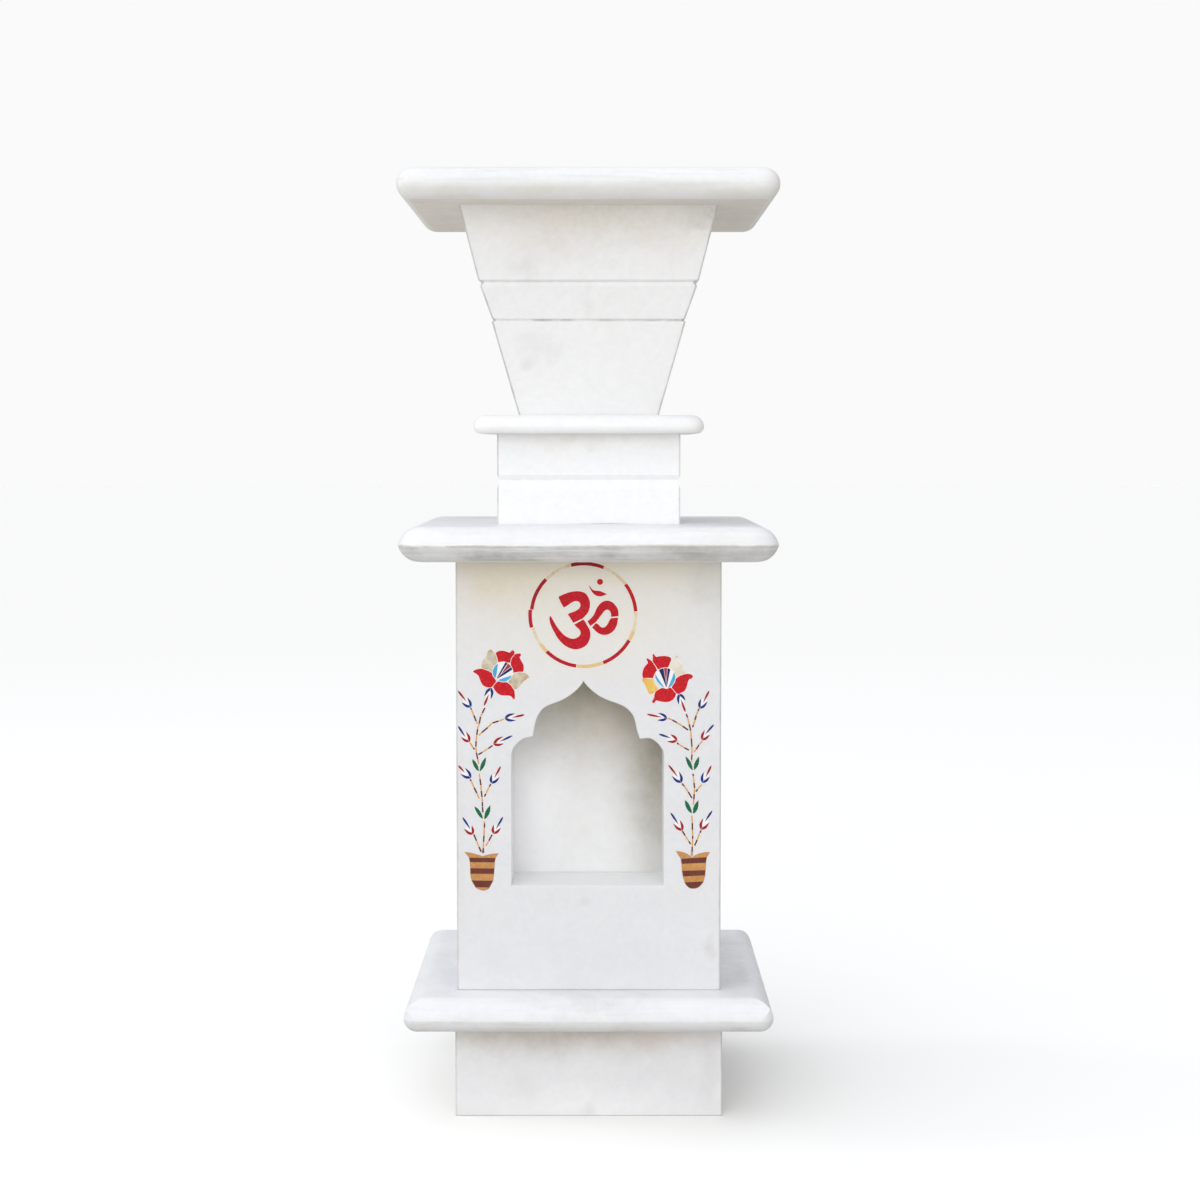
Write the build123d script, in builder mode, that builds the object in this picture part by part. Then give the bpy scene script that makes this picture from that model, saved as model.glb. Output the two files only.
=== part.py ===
from build123d import *
import os
from math import atan2, cos, degrees, hypot, pi, radians, sin

os.makedirs("parts", exist_ok=True)

# Tulsi vrindavan planter: a stack of thin white marble boxes and round-nosed
# slabs.  Millimetres, +Z up, front faces -Y, +X to the right seen from the
# front.  The origin is the middle of the plinth's bottom.

# ---- driving dimensions -------------------------------------------------
PANEL = 20.0            # marble panel stock, plinth, column and neck
ROUND = 1.0             # eased outer edges of the column and the plinth
SEAM = 0.3              # bevel where two panels meet in a corner joint
ARCH_ROUND = 0.8        # eased front edge of the arched opening
JOINT = 0.3             # cement joint round every inlaid stone

PLINTH_W = 217.0
PLINTH_TOP = 77.2

BASE_W = 296.0          # round-nosed slab under the column
BASE_TOP = 103.4
BASE_CREASE = 87.0      # height of the crease where the two arcs of the nose meet
BASE_CORNER = 11.0
BASE_NOSE_UP, BASE_NOSE_LOW = 16.8, 10.6    # radii of those arcs

COLUMN_W = 213.8
COLUMN_TOP = 452.8

LEDGE_W = 302.6         # round-nosed slab on the column
LEDGE_TOP = 481.1
LEDGE_CREASE = 466.0
LEDGE_CORNER = 25.0
LEDGE_NOSE_UP, LEDGE_NOSE_LOW = 19.0, 17.2

NECK_W = 149.3
NECK_TOP = 554.7
NECK_GROOVE = ((509.4, 0.0), (517.2, 1.95), (521.1, 0.0))   # height, depth

CAP_W = 187.0           # thin slab between neck and pot
CAP_TOP = 569.5
CAP_CORNER = 15.0
CAP_NOSE_UP, CAP_NOSE_LOW = 9.3, 5.4

# pot: height of each section and half its width, three courses and two grooves
POT_SECTIONS = (
    (569.5, 57.3), (644.9, 78.5),
    (646.4, 76.3), (647.7, 78.3),
    (673.0, 87.3), (676.7, 85.4), (678.2, 88.9),
    (736.5, 103.4),
)
POT_WALL = 18.0
POT_TOP = 736.5
POT_FLOOR = 20.0
DRAIN_R = 8.0

RIM_W = 300.6           # top slab with a square opening for the plant
RIM_TOP = 762.0
RIM_CORNER = 15.0
RIM_OPENING = 166.0

SILL = 189.2            # niche floor and lower edge of the arched opening
NICHE_L, NICHE_R = -62.4, 60.7
NICHE_DEPTH = 60.0      # from the column's front face to the back board
BOARD = 12.0            # boards of the niche box
NICHE_CEILING = 362.0

DOWEL_R = 4.0           # loose locating pins between the three stacked sections
DOWEL_HOLE_R = 5.0
DOWEL_SET = 14.0        # depth glued into the slab below
DOWEL_STAND = 14.0      # height standing into the section above
COLUMN_DOWEL_X, NECK_DOWEL_X = 70.0, 46.0

STONE = 2.5             # thickness of the inlaid stones and depth of their pockets
STEM_W = 1.3
SPEAR_W = 1.8
SEPAL_W = 2.1

RING_X, RING_Z = -4.0, 408.9
RING_RX, RING_RZ, RING_BAND = 43.4, 42.9, 2.9
# ring stones: start angle, end angle, stone, outward shift
RING = (
    (67.2, 104.2, "red", 0.0), (37.0, 67.2, "shell", 0.0), (3.9, 37.0, "red", 0.0),
    (-29.0, 3.9, "shell", 0.0), (-68.2, -29.0, "red", 0.0), (-98.0, -68.2, "shell", 0.0),
    (-135.3, -98.0, "red", 0.0), (-166.2, -135.3, "shell", 0.0), (-186.0, -166.2, "red", 1.1),
    (-224.4, -186.0, "red", 0.0), (-255.8, -224.4, "shell", 0.0),
)

# Outlines of the inlaid stones on the column's front, (x, z).  A third value
# marks a corner; the points between two corners lie on one smooth curve.
OM_SIGN = [
    [(-24.3, 423.6, 1), (-20.7, 425.4), (-16.8, 426.9), (-12.8, 427.9), (-8.8, 428.2), (-5.2, 427.7), (-2.2, 426.1), (-0.3, 423.5), (0.9, 420.5), (1.2, 417.2), (0.6, 413.6), (-0.6, 410.8), (-2.5, 408.4), (-4.9, 406.1, 1), (-12.3, 402.6, 1), (-14.4, 406), (-16.8, 409.6, 1), (-11.7, 411.8), (-8.3, 413.7), (-6.8, 415.9), (-6.7, 417.8), (-7.6, 419.3), (-9.3, 420.1), (-11.6, 419.9), (-14.9, 418.1), (-20, 415.1, 1), (-22.2, 418.7)],
    [(-11.5, 401.4, 1), (-7.8, 403.4), (-4.6, 405.3, 1), (-3.3, 404.4), (-2.2, 402.7), (-0.7, 399.9), (0.8, 397.3), (1.5, 394.1), (1.2, 390.7), (-0.1, 387.1), (-2.4, 384.1), (-6.1, 382.1), (-10.1, 381.2), (-14.1, 381.9), (-18, 383.6), (-22, 386.9), (-25.2, 390.7), (-27.8, 395.4), (-30.1, 400), (-31.3, 404), (-31.5, 406.7), (-30.7, 408.4, 1), (-29.5, 406.6), (-27.7, 403.3), (-25.6, 399.8), (-22.8, 396.1), (-19.6, 392.8), (-16, 390.7), (-12.6, 389.9), (-9.3, 390.7), (-7.2, 392.5), (-6.5, 394.7), (-7.1, 396.7), (-8.6, 398.3)],
    [(-1, 404, 1), (2.1, 406.6), (4.5, 409.8), (6.3, 413.9), (8.6, 417.4), (11.6, 419.8), (15, 420.6), (18.3, 419.7), (21.1, 417.4), (23.1, 414.5), (24, 411.4), (24, 408, 1), (21, 407.7), (18, 407.4, 1), (17.8, 410.5), (16.8, 412.4), (15.1, 413.3), (13.1, 412.5), (11.1, 410.1), (8.9, 407.2), (5.7, 403.1, 1), (3.5, 401.5), (1.3, 400, 1)],
    [(2.8, 399, 1), (5.7, 402.3, 1), (7.4, 401.8), (9, 400.2), (11, 398.9), (13, 399.3), (14.7, 400.9), (16, 403.2), (18, 406.5, 1), (21, 406.7), (23.9, 407, 1), (23.4, 404.3), (22.6, 400.5), (20.9, 397.2), (18.2, 394.6), (14.9, 393.1), (11.3, 393), (8, 394.2), (5.3, 396.3)],
    [(0.2, 433.2, 1), (1.3, 431.9), (2.6, 430.1), (4.4, 428.9), (7.4, 428.5), (10, 428.1), (12.3, 427), (15.1, 425.9, 1), (12.9, 424.9), (10.3, 424.1), (7.7, 424.1), (5, 425.2), (3.1, 427.1), (1.4, 429.8)],
]
OM_DOT = (9.2, 435.7)
OM_DOT_R = 2.45
FLOWER_L_RED = [
    [(-74.84, 378.37, 1), (-72.44, 379.81), (-69.9, 380.22), (-67.37, 379.92), (-64.87, 379.02), (-63.24, 378.81), (-62.69, 379.48), (-61.64, 380.41, 1), (-60.22, 380.29), (-59.58, 378.39), (-59.78, 377.37), (-60.6, 376.2, 1), (-61.8, 374.81), (-62.49, 373.5), (-62.87, 372.01), (-63.1, 370.49, 1), (-64.99, 370.52), (-68.4, 371.46), (-70.65, 371.22), (-72.85, 371.01, 1), (-73.44, 373.62), (-74.11, 376.1)],
    [(-60.24, 375.97, 1), (-59.26, 377.28), (-56.12, 377.92), (-54.72, 377.79), (-54.48, 376.67), (-55.58, 375.18, 1), (-54.89, 373.25), (-53.39, 370.65), (-52.38, 368.33), (-52.18, 366.2), (-52.93, 363.27), (-53.4, 362.97, 1), (-56.39, 363.05), (-58.65, 362.7), (-60.82, 362.25, 1), (-60.77, 363.33), (-60.98, 364.75), (-61.51, 366.46), (-62.5, 368.2), (-62.71, 370.33, 1), (-62.32, 372.59), (-61.6, 374.35)],
    [(-93.22, 363.2, 1), (-91.25, 364.71), (-88.72, 365.42), (-85.68, 365.68), (-83.37, 364.9), (-81.01, 363.95), (-79.23, 362.94), (-77.73, 362.3, 1), (-77.49, 360.63), (-76.59, 358.89), (-75.38, 357.43), (-74.64, 354.7, 1), (-75.84, 353.4), (-77.06, 351.69), (-79.46, 350.39, 1), (-81.83, 350.58), (-83.96, 351.4), (-85.9, 353.23), (-86.91, 355.25), (-87.71, 357.26), (-88.5, 359.34), (-89.68, 360.81), (-91.27, 361.9)],
    [(-74.4, 354.35, 1), (-71.59, 355.26), (-69.82, 354.71), (-67.88, 354.71), (-65.28, 354.3, 1), (-63.98, 353.35), (-62.31, 351.81), (-61.09, 349.95), (-60.05, 348.27), (-59.48, 345.21), (-59.38, 342.69), (-59.84, 340.69, 1), (-60.67, 341.01), (-61.78, 342.52), (-63.24, 343.59), (-65.61, 343.88), (-68.92, 343.98), (-71.45, 344.59), (-73.58, 345.91), (-75.2, 347.83), (-76.91, 350.49, 1), (-76.42, 351.93), (-75.25, 353.42)],
    [(-64.91, 369.83, 1), (-63.47, 368.64), (-62.46, 367.24, 1), (-66.61, 364.27), (-70.83, 360.81, 1), (-68.2, 364.68)],
]
FLOWER_L_SHELL = [
    [(-86.04, 366.19, 1), (-86.12, 369.52), (-85.01, 372.66), (-83.1, 375.16), (-81.91, 377.65), (-81.1, 379.77), (-79.54, 381.01, 1), (-78.15, 381.11), (-77.02, 379.78), (-75.18, 378.11, 1), (-74.4, 375.6), (-73.77, 373.18), (-73.22, 370.78, 1), (-74.59, 369.18), (-76.29, 367.3), (-77.4, 364.97), (-77.74, 362.8, 1), (-79.57, 363.59), (-81.59, 364.7), (-83.82, 365.5)],
    [(-60.27, 361.83, 1), (-58.55, 362.3), (-56.2, 362.64), (-53.22, 362.57, 1), (-50.24, 361.6), (-48.61, 360.18), (-47.58, 358.67, 1), (-49.43, 357.7), (-50.92, 356.21), (-52.92, 354.92), (-54.4, 352.63), (-56.33, 350.51), (-59.64, 348.86), (-60.06, 348.92, 1), (-61.18, 350.94), (-62.66, 352.79), (-64.85, 354.47, 1), (-63.39, 357.02), (-61.79, 359.41)],
]
FLOWER_L_TURQUOISE = [
    [(-72.89, 369.8, 1), (-75.19, 367.96), (-76.76, 365.3), (-77.24, 362.64), (-76.76, 360.09), (-75.05, 357.8, 1), (-74.27, 360.74), (-73.58, 364.47)],
    [(-72.83, 356.66, 1), (-71.04, 355.57), (-68.65, 355.12), (-65.97, 355.84), (-63.82, 357.29), (-61.95, 360.08, 1), (-64.04, 359.57), (-68.06, 358.27)],
]
FLOWER_L_WHITE = [
    [(-72.57, 369.93, 1), (-70.08, 370.84), (-67.23, 370.97, 1), (-70.6, 364.71), (-74.3, 358.01, 1), (-74.78, 357.93, 1), (-73.41, 363.93)],
    [(-61.44, 364.56, 1), (-61.26, 362.74), (-61.73, 360.48, 1), (-67.78, 358.67), (-73.09, 356.93, 1), (-73.41, 357.25, 1), (-67.21, 360.8)],
]
FLOWER_L_BLUE = [
    [(-66.91, 370.92, 1), (-65.17, 370.05, 1), (-69, 364.42), (-71.26, 360.71, 1), (-73.71, 358, 1), (-73.92, 358.27, 1), (-70.47, 364.57)],
    [(-62.25, 366.97, 1), (-61.44, 364.94, 1), (-67.2, 361.2), (-73.4, 357.57, 1), (-73.55, 357.84, 1), (-71.05, 360.44, 1), (-66.35, 364.13)],
]
FLOWER_R_RED = [
    [(51.32, 377.49, 1), (52.35, 377.41), (53.39, 376.28), (54.53, 375.21, 1), (56.99, 375.62), (60.4, 375.92), (63.53, 375.62), (66.42, 373.8), (66.35, 372.96, 1), (65.94, 371.16), (65.14, 369.12), (63.93, 366.49, 1), (61.62, 366.68), (58.78, 366.12), (57.06, 365.4), (56.32, 364.98, 1), (54.3, 367.37), (52.96, 369.43), (51.77, 371.27), (51.58, 374.38)],
    [(46.38, 373.32, 1), (46.97, 373.92), (47.96, 373.7), (50.43, 372.07), (51.76, 370.54), (52.85, 368.77), (54, 367.04), (55.04, 364.06, 1), (54.45, 363.51), (53.98, 362.77), (53.25, 361.38), (51.65, 357.93, 1), (49.3, 358.09), (46.4, 358.11), (43.73, 358.09, 1), (43.28, 360.6), (43.58, 363.63), (44.7, 366.56), (46.31, 368.58), (47.68, 370.03, 1), (47.39, 371.46)],
    [(70.22, 357.5, 1), (71.48, 358.5), (73.38, 359.84), (75.99, 360.75), (77.96, 361.29), (81.22, 361.32), (83.17, 360.59), (84.12, 359.19, 1), (82.97, 357.8), (81.08, 357.21, 1), (80.31, 355.56), (79.62, 353.07), (78.71, 350.15), (77.08, 347.51), (74.94, 346.29), (71.18, 345.47), (70.4, 346.14), (69.35, 347.48), (68.01, 349.02), (67.11, 349.95, 1), (67.95, 352.54), (69.18, 354.21), (69.81, 355.82)],
    [(57.59, 349.36, 1), (60.94, 349.81), (63.71, 349.49), (65.13, 350.3), (67.13, 349.4, 1), (68.19, 348.19), (69.56, 346.53), (70.56, 345.29, 1), (69.5, 342.64), (67.88, 340.51), (65.64, 339.19), (62.61, 338.58), (59.48, 338.88), (56.48, 339.48), (54.72, 339.88), (53.69, 339.12), (53.17, 338, 1), (51.85, 337.89), (51.18, 338.79), (51.99, 340.74), (52.79, 342.85), (53.45, 346.18), (55.7, 348.4)],
    [(60.53, 366.04, 1), (61.86, 366.19), (63.24, 366.12, 1), (62.94, 360.44), (62.45, 355.1, 1), (61.5, 360.45)],
]
FLOWER_R_GOLD = [
    [(43.16, 357.48, 1), (43.56, 357.68), (47.2, 357.69), (51.2, 357.62, 1), (51.92, 357.22), (53.01, 354.06), (54.3, 352.17), (56.24, 349.28, 1), (55.09, 348.43), (54.09, 347.38), (52.63, 346.1), (50.2, 344.88, 1), (48.61, 345.92), (47.19, 348.34), (45.99, 350.85), (45.1, 353.14), (43.91, 354.62)],
]
FLOWER_R_SHELL = [
    [(66.54, 371.73, 1), (66.86, 373.22), (67.66, 374.04), (69.43, 376.1, 1), (71.88, 376.29, 1), (72.02, 373.63), (73.3, 371.06), (75, 368.36), (76.41, 365.85), (77.29, 361.92), (77.3, 361.48, 1), (74.54, 360.8), (72.45, 359.64), (70.36, 357.98, 1), (70.36, 360.0), (69.14, 362.4), (67.45, 364.36), (65.05, 366.09, 1), (65.44, 368.7), (66.25, 370.76)],
]
FLOWER_R_TURQUOISE = [
    [(53.75, 361.47, 1), (53.73, 358.93), (54.96, 355.98), (56.93, 353.29), (60.9, 350.31, 1), (59.06, 353.27), (56.03, 357.57)],
    [(68.47, 362.52, 1), (69.87, 360.1), (69.66, 357.17), (68.1, 353.44), (63.87, 349.96, 1), (65.17, 353.21), (67.06, 357.73)],
]
FLOWER_R_WHITE = [
    [(54.07, 361.81, 1), (54.83, 363.19), (56.27, 364.38, 1), (59.09, 358.34), (62.13, 350.83, 1), (61.54, 350.57, 1), (57.75, 355.95)],
    [(65.99, 364.73, 1), (67.1, 364), (68.21, 362.79, 1), (65.99, 356.14), (63.56, 350.41, 1), (63.14, 350.69, 1), (64.67, 357.75)],
]
FLOWER_R_BLUE = [
    [(56.59, 364.56, 1), (58.22, 365.42), (60.26, 365.96, 1), (61.24, 360.46), (62.31, 354.57, 1), (62.55, 350.56, 1), (62.34, 350.96, 1), (59.62, 357.8)],
    [(63.5, 366.09, 1), (64.72, 365.7), (65.73, 364.95, 1), (64.41, 358.29), (62.98, 350.95, 1), (62.76, 350.56, 1), (62.58, 354.57, 1), (63.2, 360.44)],
]
LEAVES_L = [
    [(-93.9, 292.4, 1), (-91.7, 290.6), (-90, 288.1), (-89, 285.4), (-88.6, 282.5, 1), (-90.7, 283.7), (-92.4, 286.1), (-93.6, 289)],
    [(-83, 293.9, 1), (-82.9, 291.1), (-83.7, 287.8), (-85.5, 284.5), (-88, 282.2, 1), (-87.7, 285.1), (-86.8, 288.6), (-85.1, 291.6)],
    [(-92.4, 254, 1), (-90, 252.5), (-87.6, 249.7), (-86.1, 246.8), (-85.5, 243.6, 1), (-88.1, 245.4), (-90.5, 248.7), (-91.8, 251.5)],
    [(-79.6, 254.9, 1), (-79.4, 251.7), (-80.2, 248.2), (-82.1, 245), (-84.4, 243.1, 1), (-84.3, 246.1), (-83.4, 249.7), (-81.6, 252.6)],
]
LEAVES_R = [
    [(78.1, 294.6, 1), (80.4, 292.8), (82.5, 289.8), (83.7, 286.5), (84.2, 283.2, 1), (82.2, 284.5), (80.2, 287.3), (78.9, 290.6)],
    [(89.1, 294.5, 1), (89.3, 291.9), (88.9, 288.6), (87.4, 285.6), (85.2, 283.1, 1), (84.9, 285.9), (85.5, 289.2), (87.2, 292.2)],
    [(77.8, 259.1, 1), (80.2, 257), (82.1, 253.8), (83.2, 250.6), (83.5, 248.1, 1), (81, 249.7), (79, 252.4), (77.9, 256)],
    [(88.7, 259.1, 1), (88.8, 255.9), (88.2, 252), (86.8, 249.5), (84.4, 247.9, 1), (84.3, 250.6), (85, 254.1), (86.6, 256.7)],
]
BUDS_L = [
    ((-95.0, 334.6), (-97.7, 342.5), (-102.5, 338.4), (-105.4, 347.9), (-98.5, 339.1), 'blue', 'red'),
    ((-67.5, 325.5), (-59.3, 329.4), (-58.9, 323.7), (-51.6, 328.4), (-61.8, 326.0), 'blue', 'red'),
    ((-78.5, 349.9), (-84.1, 343.3), (-78.8, 340.8), (-84.4, 335.5), (-80.3, 345.2), 'blue', 'red'),
    ((-96.2, 306.5), (-98.8, 314.7), (-103.2, 310.3), (-105.4, 319.4), (-99.4, 310.1), 'red', 'blue'),
    ((-76.7, 304.4), (-68.8, 310.9), (-68.2, 304.9), (-61.3, 311.5), (-71.9, 306.5), 'red', 'blue'),
    ((-95.2, 277.2), (-99.8, 285.2), (-103.7, 280.2), (-105.4, 287.3), (-100.0, 281.4), 'blue', 'red'),
    ((-78.5, 272.8), (-78.3, 280.1), (-71.8, 277.8), (-70.8, 286.8), (-76.3, 276.8), 'blue', 'red'),
    ((-94.0, 231.1), (-94.5, 238.5), (-100.9, 235.6), (-102.1, 245.2), (-95.4, 234.9), 'red', 'blue'),
    ((-77.0, 231.7), (-76.9, 239.0), (-70.9, 236.4), (-69.1, 245.6), (-75.0, 235.4), 'red', 'blue'),
]
STEMS_L = [
    ([(-83.55, 334.08), (-85.81, 329.59), (-87.15, 326.86), (-88.32, 320.89), (-89.53, 316.86), (-90.28, 311.69), (-90.78, 307.16), (-91.04, 302.3), (-90.65, 297.76), (-89.49, 292.06), (-88.77, 288.07)], 'dldldldldl'),
    ([(-88.28, 280.66), (-87.8, 276.42), (-87.03, 270.87), (-86.8, 266.79), (-86.18, 261.39), (-85.94, 257.63), (-85.86, 253.7), (-85.48, 248.79)], 'ldldldd'),
    ([(-84.41, 241.89), (-84.2, 240.25), (-84.36, 236.31), (-84.64, 230.4), (-85, 224.81), (-85.26, 220.04), (-85.43, 215.92)], 'ldldld'),
    ([(-95.17, 333.96), (-94.33, 332.33), (-92.66, 328.04), (-90.6, 323.02), (-89.66, 320.88)], 'dldl'),
    ([(-68.11, 324.82), (-72.47, 323.25), (-77.63, 321.68), (-81.24, 318.16), (-86.46, 313.68), (-88.76, 311.36)], 'ldldl'),
    ([(-95.94, 305.92), (-93.3, 301.84), (-92.13, 300.04)], 'ld'),
    ([(-77.36, 303.55), (-81.1, 300.91), (-85.58, 298.03), (-89.17, 295.87)], 'dld'),
    ([(-95.79, 276.01), (-94.86, 274.37), (-92.71, 269.37), (-90.23, 264.53), (-88.39, 260.1)], 'dldl'),
    ([(-78.95, 272.26), (-80.29, 269.75), (-82.98, 264.3), (-84.32, 261.7)], 'dld'),
    ([(-92.96, 231.13), (-90.65, 225.6), (-88.88, 221.06), (-86.94, 216.92)], 'dld'),
    ([(-78, 231), (-80.86, 225.6), (-83.21, 221.5)], 'dl'),
]
VASE_L = {
    'lip': [(-100.2, 216.4), (-96.8, 216), (-92, 214.9), (-85.8, 213), (-79.8, 214.6), (-75.4, 215.2), (-73.2, 215.3)],
    'left': [(-96.7, 212.1), (-96, 208.3), (-95.7, 203.5), (-95.7, 198.8), (-94.7, 193.5), (-91.5, 187.7)],
    'right': [(-75.5, 211.9), (-76.3, 208.1), (-76.5, 203.3), (-76.9, 198.7), (-77.5, 193.3), (-80.5, 187.6)],
    'foot': [(-88.6, 186.1), (-85.8, 185.4), (-83, 185.8)],
}
BUDS_R = [
    ((89.6, 333.6), (90.6, 341.6), (95.9, 339.0), (97.3, 348.1), (92.3, 338.1), 'blue', 'red'),
    ((73.1, 345.05), (72.7, 336.6), (78.2, 339.6), (78.1, 330.4), (74.3, 341.0), 'blue', 'red'),
    ((63.1, 325.5), (56.1, 329.9), (55.3, 323.9), (46.8, 328.8), (59.3, 326.2), 'blue', 'red'),
    ((91.5, 308.0), (93.7, 316.1), (98.0, 312.3), (101.1, 320.6), (93.9, 312.3), 'red', 'blue'),
    ((71.4, 307.5), (65.9, 312.6), (63.2, 306.7), (56.5, 312.8), (66.4, 309.4), 'red', 'blue'),
    ((74.8, 273.4), (73.2, 282.2), (67.1, 278.6), (64.4, 287.8), (72.2, 277.6), 'blue', 'red'),
    ((91.9, 273.3), (92.8, 281.8), (98.0, 278.2), (99.2, 287.3), (94.5, 277.6), 'blue', 'red'),
    ((75.7, 234.4), (73.9, 242.7), (68.3, 239.8), (66.1, 249.0), (72.8, 238.9), 'red', 'blue'),
    ((90.9, 235.2), (92.7, 244.5), (97.6, 240.6), (100.0, 250.5), (94.1, 241.5), 'red', 'blue'),
]
STEMS_R = [
    ([(78.71, 329.12), (79.81, 325.89), (81.14, 320.72), (82.32, 315.38), (82.85, 309.39), (83.37, 302.27), (83.42, 296.27), (83.08, 291.58), (83.31, 289.79)], 'dldldldl'),
    ([(84.23, 280.68), (84.54, 278.16), (85.16, 273.27), (85.54, 268.71), (85.36, 264.23), (84.94, 259.26), (84.51, 254.77)], 'dldldl'),
    ([(83.43, 246.6), (83.8, 240.54), (83.94, 234.64), (84.16, 230.21), (84.14, 227.09), (83.79, 221.02), (83.69, 217.07), (83.52, 213.78)], 'ldldldl'),
    ([(88.79, 333.37), (88.3, 331.28), (86.77, 327.92), (85.71, 323.9), (84.58, 320.36), (83.77, 318.11)], 'dldld'),
    ([(63.58, 325.56), (67.33, 324.16), (71.31, 321.94), (75.62, 319.16), (80.4, 315.88)], 'ldld'),
    ([(91.88, 307.2), (89.15, 303.91), (86.65, 300.13), (84.87, 297.72)], 'ldl'),
    ([(71.22, 305.7), (72.81, 304.23), (77.12, 301.68), (81.04, 299.54)], 'dld'),
    ([(75.2, 272.63), (77.43, 270.09), (80.31, 265.91), (83.58, 260.49)], 'dld'),
    ([(91.66, 271.83), (88.11, 267.95), (86.65, 265.68)], 'ld'),
    ([(75.71, 233.98), (78.03, 230.02), (80.91, 225.64), (82.51, 223)], 'dld'),
    ([(91.11, 234.58), (89.97, 232.13), (87.85, 226.81), (85.73, 221.82)], 'dld'),
]
VASE_R = {
    'lip': [(70.9, 217.1), (73.9, 216.9), (78.4, 215.5), (83.7, 212.2), (89.1, 215), (94, 216.2), (97.8, 216.2)],
    'left': [(74.8, 211.2), (75.4, 206.9), (75.7, 201.4), (76.5, 196.6), (77.9, 192)],
    'right': [(95.5, 212.5), (94.7, 207.8), (94.5, 201.9), (94.1, 197.5), (92.9, 192.7)],
    'foot': [(80.2, 188.6), (83.1, 187), (85.2, 186.9), (87.9, 187.5), (90.8, 189.7)],
}
# The arched opening, (x, z): shoulders up to the two cusps, then the pointed hood.
ARCH_APEX = (-4.1, 355.4)
ARCH_CUSP_L, ARCH_CUSP_R = (-45.1, 310.5), (41.3, 308.8)
ARCH_SHOULDER_L = [(NICHE_L, 288.0), (-60.4, 301.6), (-54.8, 307.5)]
ARCH_SHOULDER_R = [(51.8, 308.2), (59.1, 300.7), (NICHE_R, 286.0)]
ARCH_HOOD_L = [(-43.3, 320.4), (-36.1, 333.7), (-22.9, 339.5), (-9.3, 348.7)]
ARCH_HOOD_R = [(0.4, 350.0), (12.9, 341.1), (29.2, 334.5), (36.4, 326.3), (39.4, 314.1)]


# ---- outline helpers ----------------------------------------------------
def runs(outline):
    """Splits a closed outline at its corners into runs of points."""
    n = len(outline)
    corners = [i for i in range(n) if len(outline[i]) > 2]
    result = []
    for a, b in zip(corners, corners[1:] + [corners[0] + n]):
        result.append([tuple(outline[i % n][:2]) for i in range(a, b + 1)])
    return result


def grow(outline, d):
    """The outline with every point moved outward by d."""
    n = len(outline)
    area = sum(
        outline[i][0] * outline[(i + 1) % n][1] - outline[(i + 1) % n][0] * outline[i][1]
        for i in range(n)
    )
    turn = 1 if area > 0 else -1
    moved = []
    for i in range(n):
        p, q, r = outline[i - 1], outline[i], outline[(i + 1) % n]
        ax, ay = q[0] - p[0], q[1] - p[1]
        bx, by = r[0] - q[0], r[1] - q[1]
        la, lb = hypot(ax, ay), hypot(bx, by)
        nx, ny = (ay / la + by / lb) * turn, (-ax / la - bx / lb) * turn
        ln = hypot(nx, ny)
        if ln < 0.35:
            nx, ny, ln = (ax / la - bx / lb), (ay / la - by / lb), 2.0
            k = d * 1.3 / ln
        else:
            k = d * min(2.0 / (ln * ln), 1.7 / ln)
        moved.append((q[0] + nx * k, q[1] + ny * k) + tuple(q[2:]))
    return moved


def spear(inner, tip, width):
    """Long pointed stone from its inner point to its tip."""
    dx, dy = tip[0] - inner[0], tip[1] - inner[1]
    length = hypot(dx, dy)
    nx, ny = -dy / length * width / 2, dx / length * width / 2
    side = ((0.25, 0.55), (0.55, 0.95), (0.75, 0.95), (0.9, 0.6))
    left = [(inner[0] + dx * t + nx * h, inner[1] + dy * t + ny * h) for t, h in side]
    right = [(inner[0] + dx * t - nx * h, inner[1] + dy * t - ny * h) for t, h in reversed(side)]
    return [(*inner, 1), *left, (*tip, 1), *right]


def sepal(base, tip, axis_point):
    """Crescent from the foot of a bud to its own tip, bowed away from the bud's axis.  Its foot lies
    along the axis, against the foot of the other sepal."""
    dx, dy = tip[0] - base[0], tip[1] - base[1]
    length = hypot(dx, dy)
    ux, uy = axis_point[0] - base[0], axis_point[1] - base[1]
    lu = hypot(ux, uy)
    ux, uy = ux / lu, uy / lu
    side = -1 if ux * -dy + uy * dx > 0 else 1
    nx, ny = -dy / length * side, dx / length * side        # out from the chord
    vx, vy = -uy * side, ux * side                          # out from the axis
    bow = 0.16 * length + 0.45
    foot = (base[0] - ux * 0.35 + vx * 0.09, base[1] - uy * 0.35 + vy * 0.09)
    crotch = (base[0] + ux * 0.24 * length + vx * 0.09, base[1] + uy * 0.24 * length + vy * 0.09)
    out = [(0.10, 0.60), (0.25, 0.92), (0.47, 1.0), (0.74, 0.60)]
    outer = [(base[0] + dx * t + nx * bow * h, base[1] + dy * t + ny * bow * h) for t, h in out]
    inner = [
        (base[0] + dx * t + nx * (bow * h - SEPAL_W * w), base[1] + dy * t + ny * (bow * h - SEPAL_W * w))
        for t, h, w in ((0.74, 0.60, 0.64), (0.47, 1.0, 0.97))
    ]
    return [(*foot, 1), *outer, (*tip, 1), *inner, (*crotch, 1)]


def bud_white(bud):
    """The white stone between a bud's two sepals, before they are cut out of it."""
    base, a, b, tip, inner = bud[:5]
    at = lambda p, q, t: (p[0] + (q[0] - p[0]) * t, p[1] + (q[1] - p[1]) * t)
    top = at(inner, tip, 0.36)
    low = at(base, inner, 0.1)
    return [(*low, 1), (*at(base, a, 0.86), 1), (*top, 1), (*at(base, b, 0.86), 1)]


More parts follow.
